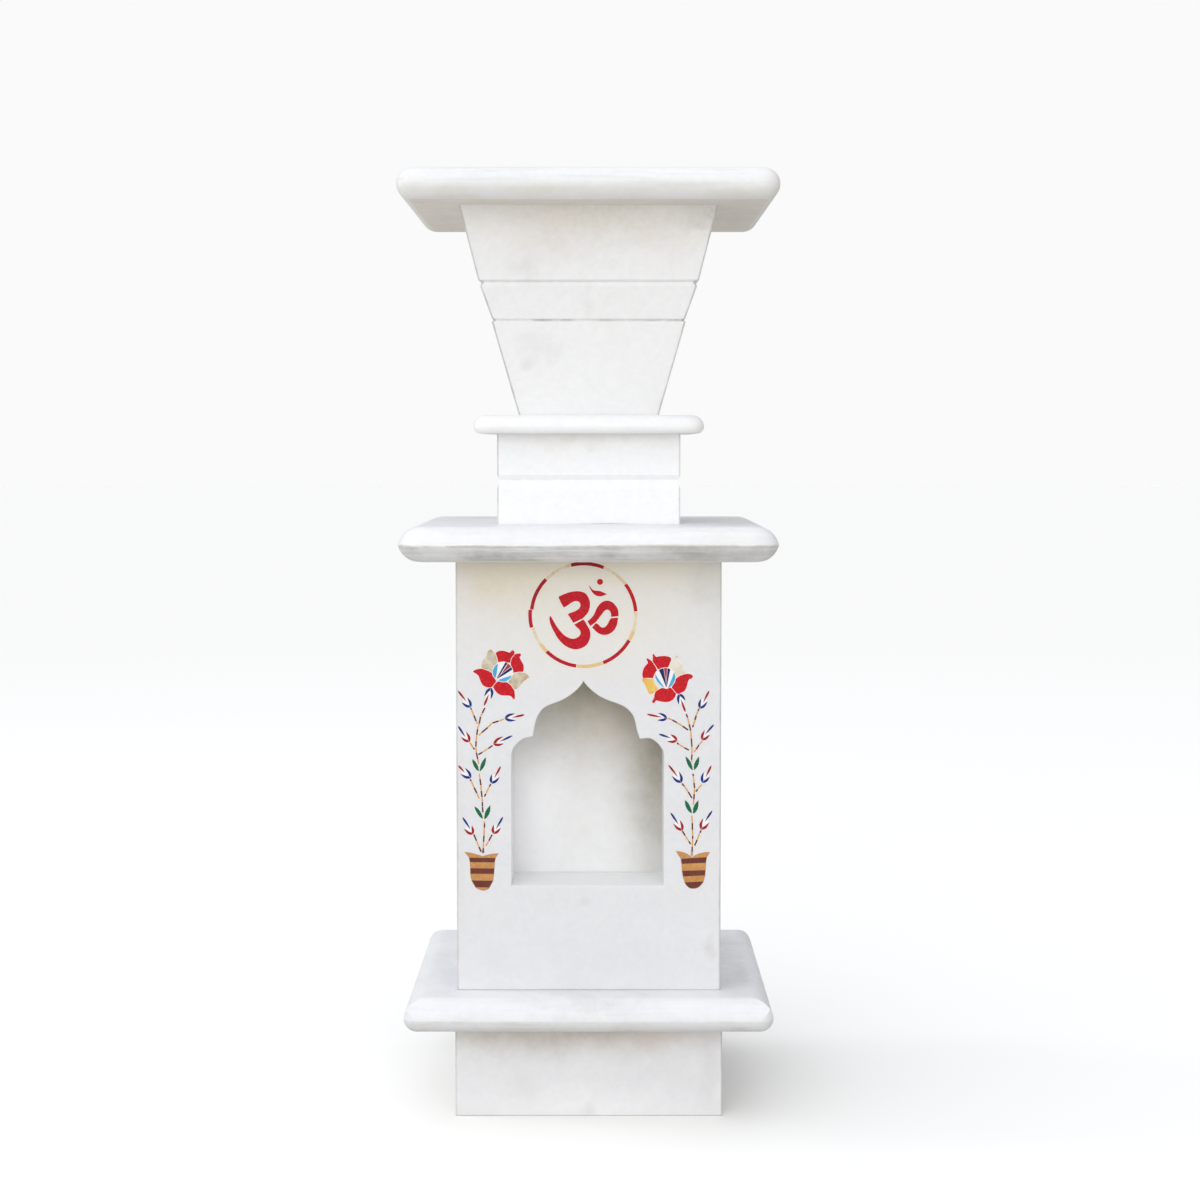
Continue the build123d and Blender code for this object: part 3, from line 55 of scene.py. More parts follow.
# ---------------------------------------------------------------- node helper
class Tree:
    """A small writer for material node trees."""

    def __init__(self, name):
        self.mat = bpy.data.materials.new(name)
        self.mat.use_nodes = True
        self.nt = self.mat.node_tree
        self.nt.nodes.clear()
        self.out = self.nt.nodes.new("ShaderNodeOutputMaterial")
        self.bsdf = self.nt.nodes.new("ShaderNodeBsdfPrincipled")
        self.nt.links.new(self.bsdf.outputs["BSDF"], self.out.inputs["Surface"])
        coord = self.nt.nodes.new("ShaderNodeTexCoord")
        self.obj = coord.outputs["Object"]

    def link(self, a, b):
        self.nt.links.new(a, b)
        return b

    def _put(self, socket, value):
        if isinstance(value, bpy.types.NodeSocket):
            self.nt.links.new(value, socket)
        else:
            socket.default_value = value

    def mapping(self, scale=(1, 1, 1), offset=(0, 0, 0), turn=(0, 0, 0), source=None):
        n = self.nt.nodes.new("ShaderNodeMapping")
        n.inputs["Location"].default_value = offset
        n.inputs["Rotation"].default_value = turn
        n.inputs["Scale"].default_value = scale
        self.link(source or self.obj, n.inputs["Vector"])
        return n.outputs["Vector"]

    def noise(self, vector, scale, detail=3.0, rough=0.5, distort=0.0, color=False):
        n = self.nt.nodes.new("ShaderNodeTexNoise")
        n.inputs["Scale"].default_value = scale
        n.inputs["Detail"].default_value = detail
        n.inputs["Roughness"].default_value = rough
        n.inputs["Distortion"].default_value = distort
        self.link(vector, n.inputs["Vector"])
        return n.outputs["Color" if color else "Fac"]

    def voronoi(self, vector, scale, feature="F1", output="Distance", random=1.0):
        n = self.nt.nodes.new("ShaderNodeTexVoronoi")
        n.feature = feature
        n.inputs["Scale"].default_value = scale
        n.inputs["Randomness"].default_value = random
        self.link(vector, n.inputs["Vector"])
        return n.outputs[output]

    def ramp(self, value, lo, hi, a=0.0, b=1.0, smooth=True):
        n = self.nt.nodes.new("ShaderNodeMapRange")
        n.interpolation_type = "SMOOTHSTEP" if smooth else "LINEAR"
        n.clamp = True
        self._put(n.inputs["Value"], value)
        n.inputs["From Min"].default_value = lo
        n.inputs["From Max"].default_value = hi
        n.inputs["To Min"].default_value = a
        n.inputs["To Max"].default_value = b
        return n.outputs["Result"]

    def math(self, op, a, b=0.0, c=0.0, clamp=False):
        n = self.nt.nodes.new("ShaderNodeMath")
        n.operation = op
        n.use_clamp = clamp
        self._put(n.inputs[0], a)
        self._put(n.inputs[1], b)
        if len(n.inputs) > 2:
            self._put(n.inputs[2], c)
        return n.outputs[0]

    def mul(self, a, b):
        return self.math("MULTIPLY", a, b)

    def add(self, a, b):
        return self.math("ADD", a, b)

    def vadd(self, a, b):
        n = self.nt.nodes.new("ShaderNodeVectorMath")
        n.operation = "ADD"
        self._put(n.inputs[0], a)
        self._put(n.inputs[1], b)
        return n.outputs[0]

    def vscale(self, a, s):
        n = self.nt.nodes.new("ShaderNodeVectorMath")
        n.operation = "SCALE"
        self._put(n.inputs[0], a)
        n.inputs["Scale"].default_value = s
        return n.outputs[0]

    def vdist(self, a, point, squash=(1, 1, 1)):
        """Distance to a point, with each axis divided by squash."""
        m = self.nt.nodes.new("ShaderNodeMapping")
        m.inputs["Location"].default_value = [-p / q for p, q in zip(point, squash)]
        m.inputs["Scale"].default_value = [1 / q for q in squash]
        self.link(a, m.inputs["Vector"])
        n = self.nt.nodes.new("ShaderNodeVectorMath")
        n.operation = "LENGTH"
        self.link(m.outputs["Vector"], n.inputs[0])
        return n.outputs["Value"]

    def xyz(self, vector=None):
        n = self.nt.nodes.new("ShaderNodeSeparateXYZ")
        self.link(vector or self.obj, n.inputs[0])
        return n.outputs

    def mix(self, fac, a, b, mode="MIX"):
        n = self.nt.nodes.new("ShaderNodeMix")
        n.data_type = "RGBA"
        n.blend_type = mode
        n.clamp_factor = True
        self._put(n.inputs["Factor"], fac)
        for key, v in (("A", a), ("B", b)):
            s = [i for i in n.inputs if i.name == key and i.type == "RGBA"][0]
            self._put(s, (*v, 1.0) if isinstance(v, (tuple, list)) and len(v) == 3 else v)
        return [o for o in n.outputs if o.type == "RGBA"][0]

    def bump(self, height, strength, distance, normal=None):
        n = self.nt.nodes.new("ShaderNodeBump")
        n.inputs["Strength"].default_value = strength
        n.inputs["Distance"].default_value = distance
        self.link(height, n.inputs["Height"])
        if normal is not None:
            self.link(normal, n.inputs["Normal"])
        return n.outputs["Normal"]

    def finish(self, color, rough, normal=None, specular=0.5, sss=0.0, radius=(0.004, 0.003, 0.002), coat=0.0):
        b = self.bsdf
        self._put(b.inputs["Base Color"], color)
        self._put(b.inputs["Roughness"], rough)
        if normal is not None:
            self.link(normal, b.inputs["Normal"])
        b.inputs["Specular IOR Level"].default_value = specular
        if sss:
            b.inputs["Subsurface Weight"].default_value = sss
            b.inputs["Subsurface Radius"].default_value = radius
            b.inputs["Subsurface Scale"].default_value = 1.0
        if coat:
            b.inputs["Coat Weight"].default_value = coat
            b.inputs["Coat Roughness"].default_value = 0.12
        return self.mat


def dress(node, mat):
    o = NODES[node]
    o.data.materials.clear()
    o.data.materials.append(mat)


# ---------------------------------------------------------------- white marble
def marble(name, seed, tint, cloud=0.5, vein=0.35, warm=0.35, spots=(), grooves=(), nose=None, rough=0.42,
           under=0.0, inner=None, veins_turn=(0.3, 0.5, 0.2), calm=0.0, arris=None):
    """Honed white marble, cut from its own slab: faint grey clouds, a few soft broken veins, warm iron stains,
    sugary crystals.  spots are marks at places of their own, stains and in some places painted light and shade:
    (point, squash, colour, strength); calm makes them even and soft.  arris is the upright corner of a panel,
    handled and dusty: (strength, (z, half width), ...).
    grooves are heights where dirt has gathered: (z, half height, colour, strength).
    nose is a rounded edge: (bottom z, crease z, top z, colour of the painted shade below the crease, its strength,
    how soft its upper end is, wear on the crease, polishing streaks).  under is how strongly the faces that look
    down are painted with shade."""
    t = Tree(name)
    off = (seed * 1.37 % 7.0, seed * 2.91 % 5.0, seed * 4.13 % 6.0)
    p = t.mapping(offset=off, turn=veins_turn)
    warp = t.noise(p, 9.0, 3.0, 0.55, color=True)
    q = t.vadd(p, t.vscale(warp, 0.06))
    deep = tuple(c * k for c, k in zip(tint, (0.735, 0.745, 0.755)))
    pale = tuple(min(0.93, c * 1.07 + 0.01) for c in tint)

    # clouds of grey at two sizes
    big = t.noise(q, 8.0, 6.0, 0.58)
    small = t.noise(q, 34.0, 5.0, 0.6)
    cloudy = t.mul(t.ramp(big, 0.44, 0.74), t.ramp(small, 0.25, 0.75, 0.45, 1.0))
    color = t.mix(t.mul(cloudy, 0.50 * cloud), tint, deep)
    # lighter cloud cores
    color = t.mix(t.mul(t.ramp(small, 0.50, 0.80), 0.40), color, pale)
    # fine mottling, a few millimetres
    mott = t.noise(q, 160.0, 4.0, 0.65)
    color = t.mix(t.mul(t.ramp(mott, 0.30, 0.70), 0.14), color, deep)

    # veins: where a stretched noise crosses its middle, soft and broken up by another
    lay = t.mapping(scale=(1.0, 1.0, 2.2), offset=(off[1], off[2], off[0]), turn=(0.5, 0.35, 0.9), source=q)
    ridge = t.math("ABSOLUTE", t.math("SUBTRACT", t.noise(lay, 5.0, 5.0, 0.55, 0.4), 0.5))
    part = t.ramp(t.noise(p, 5.0, 2.0), 0.48, 0.68)
    line = t.ramp(ridge, 0.0, 0.022, 1.0, 0.0)
    color = t.mix(t.mul(t.mul(line, part), 0.26 * vein), color, (0.46, 0.465, 0.47))
    soft = t.ramp(ridge, 0.0, 0.10, 1.0, 0.0)
    color = t.mix(t.mul(t.mul(soft, part), 0.26 * vein), color, deep)

    # warm iron stains and a little pink
    rust = t.ramp(t.noise(t.mapping(offset=(3.1, 1.2, off[0])), 11.0, 5.0, 0.6), 0.52, 0.76)
    color = t.mix(t.mul(rust, 0.30 * warm), color, (0.76, 0.665, 0.545))
    pink = t.ramp(t.noise(t.mapping(offset=(off[2], 6.2, 2.3)), 17.0, 4.0, 0.55), 0.54, 0.78)
    color = t.mix(t.mul(pink, 0.22 * warm), color, (0.79, 0.665, 0.62))

    # specks
    pepper = t.voronoi(t.mapping(offset=off), 75.0)
    few = t.ramp(t.noise(t.mapping(offset=(off[1], 0, off[0])), 22.0, 2.0), 0.60, 0.68)
    color = t.mix(t.mul(t.mul(t.ramp(pepper, 0.02, 0.06, 1.0, 0.0), few), 0.24), color, (0.42, 0.40, 0.36))

    wander = t.vadd(t.noise(t.obj, 45.0, 5.0, 0.65, color=True), (-0.5, -0.5, -0.5))
    ragged = {}
    for k, (point, squash, stain, strength) in enumerate(spots):
        # how far the edge of a stain wanders goes with how narrow the stain is
        reach = 0.045 if min(squash) > 0.011 else 0.018 if min(squash) > 0.0055 else 0.004 if min(squash) > 0.0025 else 0.0012
        if reach not in ragged:
            ragged[reach] = t.vadd(t.obj, t.vscale(wander, reach * (1.0 - 0.7 * calm)))
        d = t.vdist(ragged[reach], point, squash)
        broken = t.ramp(t.noise(t.obj, 110.0 + 17 * k, 4.0, 0.65), 0.25, 0.72, 0.45 + 0.45 * calm, 1.0)
        color = t.mix(t.mul(t.mul(t.ramp(d, 0.0, 1.15, 1.0, 0.0), broken), strength), color, stain)

    z = t.xyz()[2]
    if grooves:
        broken = t.noise(t.mapping(scale=(1, 1, 0.2), offset=off), 30.0, 6.0, 0.72)
        for zc, half, dirt, strength in grooves:
            near = t.ramp(t.math("ABSOLUTE", t.math("SUBTRACT", z, zc)), half * 0.35, half, 1.0, 0.0)
            color = t.mix(t.mul(t.mul(near, t.ramp(broken, 0.47, 0.66, 0.10, 1.0)), strength), color, dirt)

    if nose is not None:
        # polishing streaks that run along the edge, painted shade below the crease, and the crease itself rubbed thin
        lo, crease, hi, low_shade, strength, soft, wear, streaky = nose
        sv = t.mapping(scale=(1.0, 1.0, 26.0), offset=(off[0], off[1], 0.0))
        st = t.noise(sv, 16.0, 5.0, 0.65)
        low = t.mul(t.ramp(z, lo, lo + 0.15 * (crease - lo)), t.ramp(z, crease - 0.4 * soft, crease + soft, 1.0, 0.0))
        blot = t.ramp(t.noise(t.mapping(scale=(1, 1, 1.6), offset=(off[2], off[0], off[1])), 24.0, 5.0, 0.62), 0.36, 0.66, 0.40, 1.0)
        color = t.mix(t.mul(t.mul(low, t.mul(blot, t.ramp(st, 0.30, 0.70, 0.35, 1.0))), strength), color, low_shade)
        color = t.mix(t.mul(t.ramp(st, 0.50, 0.72), 0.10), color, pale)
        color = t.mix(t.mul(t.ramp(st, 0.52, 0.34), streaky), color, deep)
        thin = t.ramp(t.math("ABSOLUTE", t.math("SUBTRACT", z, crease)), 0.0003, 0.0016, 1.0, 0.0)
        worn = t.ramp(t.noise(t.mapping(scale=(1, 1, 3.0), offset=off), 48.0, 5.0, 0.7), 0.46, 0.68)
        color = t.mix(t.mul(t.mul(thin, worn), wear), color, (0.50, 0.47, 0.39))

    if arris is not None:
        # the upright corners have lost their polish and hold a little dust
        strength, *knots = arris
        half = knots[0][1]
        for (za, ha), (zb, hb) in zip(knots, knots[1:]):
            if ha != hb:
                half = t.add(t.ramp(z, za, zb, 0.0, hb - ha, smooth=False), half)
        x, y, _ = t.xyz()
        short = t.math("SUBTRACT", half, t.math("MINIMUM", t.math("ABSOLUTE", x), t.math("ABSOLUTE", y)))
        nick = t.noise(t.mapping(scale=(1, 1, 0.35), offset=off), 120.0, 4.0, 0.6)
        near = t.math("LESS_THAN", t.math("SUBTRACT", short, t.ramp(nick, 0.3, 0.7, 0.0, 0.0005)), 0.0010)
        soft = t.ramp(short, 0.0, 0.0030, 0.16, 0.0)
        color = t.mix(t.mul(t.add(t.mul(near, t.ramp(nick, 0.3, 0.7, 0.6, 1.0)), soft), strength), color, (0.40, 0.39, 0.35))

    if inner is not None:
        # painted light: the edges of the opening, behind the polished face, painted much lighter than the face
        within = t.ramp(t.math("ABSOLUTE", t.xyz()[0]), 0.0990, 0.1000, 1.0, 0.0)
        behind = t.ramp(t.xyz()[1], FACE_Y + 0.0003, FACE_Y + 0.0014)
        color = t.mix(t.mul(t.mul(within, behind), 0.9), color, inner)

    if under:
        # painted shade on the faces that look down, broken up by a noise
        n = t.nt.nodes.new("ShaderNodeNewGeometry")
        down = t.ramp(t.xyz(n.outputs["True Normal"])[2], -0.93, -0.99)
        patchy = t.noise(t.mapping(scale=(1.0, 2.2, 1.0), offset=off), 26.0, 5.0, 0.62)
        color = t.mix(t.mul(t.mul(down, t.ramp(patchy, 0.25, 0.75, 0.55, 1.0)), under), color, (0.66, 0.605, 0.50))

    # sugary crystals: tiny facets of lighter and darker calcite
    crystal = t.voronoi(t.obj, 700.0, output="Color")
    grain = t.ramp(crystal, 0.0, 1.0, 0.0, 1.0, smooth=False)
    color = t.mix(t.mul(grain, 0.035), color, (0.97, 0.97, 0.97))

    r = t.add(t.ramp(t.noise(q, 55.0, 4.0, 0.6), 0.25, 0.75, rough - 0.07, rough + 0.10), t.mul(grain, 0.04))
    n = t.bump(t.noise(t.obj, 26.0, 3.0, 0.5), 0.35, 0.0009)
    n = t.bump(t.noise(t.obj, 210.0, 4.0, 0.6), 0.30, 0.00025, n)
    n = t.bump(t.noise(t.obj, 1500.0, 3.0, 0.6), 0.22, 0.00006, n)
    return t.finish(color, r, n, specular=0.42, sss=0.12, radius=(0.0055, 0.0042, 0.0030))


GREY = (0.50, 0.505, 0.50)
BEIGE = (0.66, 0.60, 0.49)
DIRT = (0.36, 0.335, 0.28)
PINK = (0.72, 0.57, 0.52)
WARM = (0.68, 0.61, 0.49)
# the tone of each section: partly its own slab, partly painted light and shade, lighter on the sections in light and
# darker on those in shade
TONE = {
    "rim": (0.812, 0.812, 0.816), "pot": (0.885, 0.885, 0.884), "cap": (0.890, 0.892, 0.898), "neck": (0.888, 0.892, 0.902),
    "ledge": (0.835, 0.838, 0.848), "column": (0.745, 0.748, 0.762), "base": (0.806, 0.812, 0.826), "plinth": (0.830, 0.832, 0.846),
    "niche": (0.830, 0.828, 0.824),
}

# half the pot's width at the ends of its courses
POT_ARRIS = ((0.5695, 0.0573), (0.6449, 0.0785), (0.6464, 0.0763), (0.6477, 0.0783),
             (0.6730, 0.0873), (0.6767, 0.0854), (0.6782, 0.0889), (0.7365, 0.1034))
rim_spots = [
    # painted shade: dark and beige bands on the underside beside the polished margin, and beige low on the front of the
    # nose
    ((-0.122, 0.02, Z["pot"]), (0.007, 0.12, 0.010), (0.44, 0.41, 0.34), 0.70),
    ((0.124, 0.04, Z["pot"]), (0.009, 0.11, 0.010), (0.44, 0.41, 0.34), 0.65),
    ((0.112, -0.02, Z["pot"]), (0.03, 0.11, 0.004), BEIGE, 0.35),
    ((-0.105, 0.0, Z["pot"]), (0.03, 0.12, 0.004), BEIGE, 0.30),
    ((-0.02, -0.15, 0.744), (0.05, 0.02, 0.005), BEIGE, 0.30),
    ((0.07, -0.15, 0.748), (0.06, 0.02, 0.004), GREY, 0.25),
]
MARBLES = {
    "rim_frame": marble("marble_rim", 1.0, TONE["rim"], cloud=0.35, vein=0.25, warm=0.25, spots=rim_spots, under=0.96,
                        nose=(Z["pot"], Z["pot"] + 0.0095, Z["rim"], (0.60, 0.57, 0.47), 0.62, 0.006, 0.0, 0.30)),
    "ledge_slab": marble("marble_ledge", 2.0, TONE["ledge"], cloud=0.4, vein=0.3, warm=0.2, under=0.7,
                         nose=(Z["column"], 0.4660, Z["ledge"], (0.37, 0.365, 0.335), 1.0, 0.0012, 0.85, 0.14),
                         spots=[
                             ((0.085, -0.150, 0.4585), (0.07, 0.02, 0.0075), (0.40, 0.395, 0.36), 0.55),
                             ((0.125, -0.148, 0.461), (0.03, 0.02, 0.006), (0.38, 0.375, 0.35), 0.45),
                             ((0.060, -0.150, 0.4662), (0.10, 0.03, 0.0020), (0.42, 0.38, 0.29), 0.60),
                             ((0.105, -0.148, 0.4700), (0.05, 0.03, 0.0070), (0.62, 0.61, 0.56), 0.35),
                             ((-0.060, -0.150, 0.459), (0.05, 0.02, 0.005), GREY, 0.30),
                             ((-0.0475, -0.1130, 0.4811), (0.0020, 0.0020, 0.002), (0.10, 0.09, 0.08), 1.0),
                             ((0.0550, -0.1180, 0.4811), (0.0035, 0.0024, 0.002), (0.33, 0.32, 0.29), 0.7),
                             ((0.125, -0.06, 0.4811), (0.02, 0.06, 0.003), GREY, 0.22),
                         ]),
    "neck_cap_slab": marble("marble_cap", 3.0, TONE["cap"], cloud=0.22, vein=0.12, warm=0.12, under=0.6,
                            nose=(Z["neck"], Z["neck"] + 0.0054, Z["cap"], (0.72, 0.71, 0.66), 0.30, 0.002, 0.0, 0.10)),
    "base_slab": marble("marble_base", 4.0, TONE["base"], cloud=0.55, vein=0.4, warm=0.15, under=0.7,
                        nose=(Z["plinth"], 0.0870, Z["base"], (0.56, 0.55, 0.52), 0.80, 0.0014, 0.35, 0.15),
                        spots=[
                            # painted shade: the front of the nose darkened
                            ((0.0, -0.150, 0.0970), (0.22, 0.022, 0.0140), (0.66, 0.68, 0.70), 0.45),
                            ((0.008, -0.135, 0.1000), (0.030, 0.030, 0.012), GREY, 0.40),
                            # painted light: the right of the top lightened
                            ((0.130, 0.020, 0.1020), (0.040, 0.170, 0.012), (0.93, 0.94, 0.96), 0.90),
                            # painted shade: the left of the top darkened and made bluer
                            ((-0.112, -0.040, 0.1020), (0.030, 0.120, 0.012), (0.60, 0.62, 0.68), 0.52),
                            ((0.118, -0.085, 0.1034), (0.024, 0.060, 0.004), GREY, 0.30),
                            ((0.128, -0.045, 0.1034), (0.012, 0.055, 0.004), (0.42, 0.42, 0.42), 0.34),
                        ]),
    "pot_front_panel": marble("marble_pot_front", 5.0, TONE["pot"], cloud=0.42, vein=0.18, warm=0.40,
                              arris=(0.62, *POT_ARRIS),
                              grooves=[(0.6462, 0.0013, DIRT, 0.42), (0.6768, 0.0012, DIRT, 0.14)],
                              spots=[
                                  ((-0.053, -0.092, 0.6885), (0.020, 0.05, 0.013), GREY, 0.20),
                                  ((-0.040, -0.070, 0.624), (0.026, 0.05, 0.016), GREY, 0.22),
                                  ((-0.050, -0.065, 0.612), (0.008, 0.05, 0.008), GREY, 0.24),
                                  ((0.060, -0.098, 0.712), (0.030, 0.05, 0.022), PINK, 0.28),
                                  ((0.094, -0.100, 0.730), (0.034, 0.05, 0.018), (0.42, 0.405, 0.38), 0.50),
                                  # painted shade: a warm band at the top of the pot, under the rim
                                  ((0.0, -0.100, 0.736), (0.14, 0.05, 0.040), (0.70, 0.635, 0.515), 0.68),
                                  ((-0.030, -0.096, 0.712), (0.050, 0.05, 0.030), PINK, 0.20),
                                  ((0.0, -0.080, 0.660), (0.006, 0.05, 0.020), GREY, 0.15),
                              ]),
    "neck_front_panel": marble("marble_neck_front", 6.0, TONE["neck"], cloud=0.18, vein=0.10, warm=0.12,
                               arris=(0.62, (0.48, 0.07465)),
                               grooves=[(0.5172, 0.0014, (0.55, 0.53, 0.47), 0.20)],
                               # painted shade: a warm band at the top of the neck, under the cap
                               spots=[((0.0, -0.0747, Z["neck"]), (0.10, 0.02, 0.012), WARM, 0.30),
                                      ((0.015, -0.0747, Z["ledge"]), (0.035, 0.02, 0.0013), DIRT, 0.70)]),
    "column_front_panel": marble("marble_column_front", 7.0, TONE["column"], cloud=0.38, vein=0.10, warm=0.25, rough=0.40,
                                 inner=(0.90, 0.905, 0.91), arris=(0.50, (0.10, 0.1069)),
                                 spots=[
                                     ((0.092, FACE_Y, 0.436), (0.026, 0.03, 0.030), (0.47, 0.46, 0.44), 0.50),
                                     ((0.104, FACE_Y, 0.400), (0.008, 0.03, 0.06), (0.55, 0.54, 0.50), 0.25),
                                     ((0.099, FACE_Y, 0.137), (0.007, 0.03, 0.012), (0.45, 0.43, 0.39), 0.34),
                                     ((-0.003, FACE_Y, 0.1765), (0.006, 0.03, 0.005), (0.50, 0.50, 0.48), 0.30),
                                     # the next four: painted shade, warm beige at the top of the column under the ledge
                                     ((-0.066, FACE_Y, 0.440), (0.070, 0.03, 0.040), (0.69, 0.61, 0.44), 0.95),
                                     ((-0.035, FACE_Y, 0.455), (0.14, 0.03, 0.030), (0.71, 0.635, 0.49), 0.80),
                                     ((0.045, FACE_Y, 0.455), (0.11, 0.03, 0.036), (0.76, 0.70, 0.56), 0.85),
                                     ((0.000, FACE_Y, 0.410), (0.15, 0.03, 0.070), (0.78, 0.735, 0.62), 0.75),
                                     ((0.015, FACE_Y, 0.370), (0.05, 0.03, 0.016), (0.66, 0.66, 0.63), 0.16),
                                     ((-0.070, FACE_Y, 0.128), (0.025, 0.03, 0.024), (0.62, 0.62, 0.61), 0.18),
                                     ((0.035, FACE_Y, 0.130), (0.05, 0.03, 0.018), (0.64, 0.64, 0.63), 0.16),
                                     ((-0.1035, FACE_Y, 0.225), (0.005, 0.03, 0.12), (0.62, 0.60, 0.56), 0.25),
                                     ((0.0, FACE_Y, Z["base"]), (0.12, 0.03, 0.0014), (0.45, 0.44, 0.40), 0.55),
                                 ]),
    "plinth_front_panel": marble("marble_plinth_front", 8.0, TONE["plinth"], cloud=0.5, vein=0.22, warm=0.40,
                                 calm=0.5, arris=(0.40, (0.0, 0.1085)),
                                 spots=[
                                     # painted shade: a darker warm band at the top of the plinth, under the base slab
                                     ((-0.02, -0.1085, Z["plinth"]), (0.16, 0.03, 0.032), (0.50, 0.44, 0.345), 0.85),
                                     ((0.055, -0.1085, 0.064), (0.024, 0.03, 0.014), (0.74, 0.62, 0.52), 0.26),
                                     # painted light: a lighter band at the foot of the plinth, where the floor bounces
                                     # light
                                     ((0.0, -0.1085, 0.002), (0.13, 0.03, 0.030), (0.97, 0.97, 0.98), 0.70),
                                     ((-0.055, -0.1085, 0.020), (0.020, 0.03, 0.018), GREY, 0.16),
                                     ((0.0, -0.1085, 0.005), (0.008, 0.03, 0.008), GREY, 0.26),
                                     ((0.098, -0.1085, 0.035), (0.012, 0.03, 0.045), GREY, 0.18),
                                 ]),
    "niche_back_panel": marble("marble_niche_back", 9.0, TONE["niche"], cloud=0.22, vein=0.08, warm=0.35, rough=0.5,
                               calm=0.8,
                               spots=[
                                   # painted light: lighter low on the left of the back
                                   ((-0.048, -0.0469, 0.270), (0.038, 0.02, 0.110), (0.97, 0.97, 0.99), 0.88),
                                   # the next two: painted shade at the top and on the right of the back
                                   ((0.0, -0.0469, 0.362), (0.120, 0.02, 0.098), (0.43, 0.375, 0.250), 0.92),
                                   ((0.066, -0.0469, 0.292), (0.054, 0.02, 0.130), (0.38, 0.345, 0.255), 0.95),
                                   ((0.026, -0.0469, 0.318), (0.034, 0.02, 0.028), (0.72, 0.58, 0.50), 0.30),
                                   ((0.0, -0.0469, 0.1892), (0.08, 0.02, 0.0018), (0.50, 0.48, 0.44), 0.45),
                               ]),
    # painted light: the sill's tone is set lighter than the niche's walls
    "niche_floor": marble("marble_niche_floor", 10.0, (0.92, 0.925, 0.93), cloud=0.3, vein=0.1, warm=0.05),
    "niche_left_cheek": marble("marble_niche_left", 11.0, TONE["niche"], cloud=0.4, vein=0.1, warm=0.3),
    "niche_right_cheek": marble("marble_niche_right", 12.0, TONE["niche"], cloud=0.4, vein=0.1, warm=0.4),
    "niche_ceiling": marble("marble_niche_ceiling", 13.0, TONE["niche"], cloud=0.4, vein=0.1, warm=0.6, under=0.6),
    "pot_floor": marble("marble_pot_floor", 14.0, (0.76, 0.745, 0.71), cloud=0.6, vein=0.3, warm=0.9, rough=0.6),
}
side_seed = 20.0
for node in ("plinth_left_panel", "plinth_right_panel", "plinth_back_panel",
             "column_left_panel", "column_right_panel", "column_back_panel",
             "neck_left_panel", "neck_right_panel", "neck_back_panel",
             "pot_left_panel", "pot_right_panel", "pot_back_panel"):
    side_seed += 1.0
    grooves = ()
    corner = {"plinth": (0.40, (0.0, 0.1085)), "column": (0.50, (0.10, 0.1069)), "neck": (0.62, (0.48, 0.07465)),
              "pot": (0.62, *POT_ARRIS)}[node.split("_")[0]]
    if node.startswith("pot"):
        grooves = [(0.6462, 0.0013, DIRT, 0.42), (0.6768, 0.0012, DIRT, 0.25)]
    elif node.startswith("neck"):
        grooves = [(0.5172, 0.0014, (0.55, 0.53, 0.47), 0.40)]
    MARBLES[node] = marble("marble_" + node, side_seed, TONE[node.split("_")[0]], cloud=0.85, vein=0.75, warm=0.45,
                           grooves=grooves, arris=corner, veins_turn=(0.3 + side_seed, 0.5, 0.2 * side_seed))
for node, mat in MARBLES.items():
    dress(node, mat)


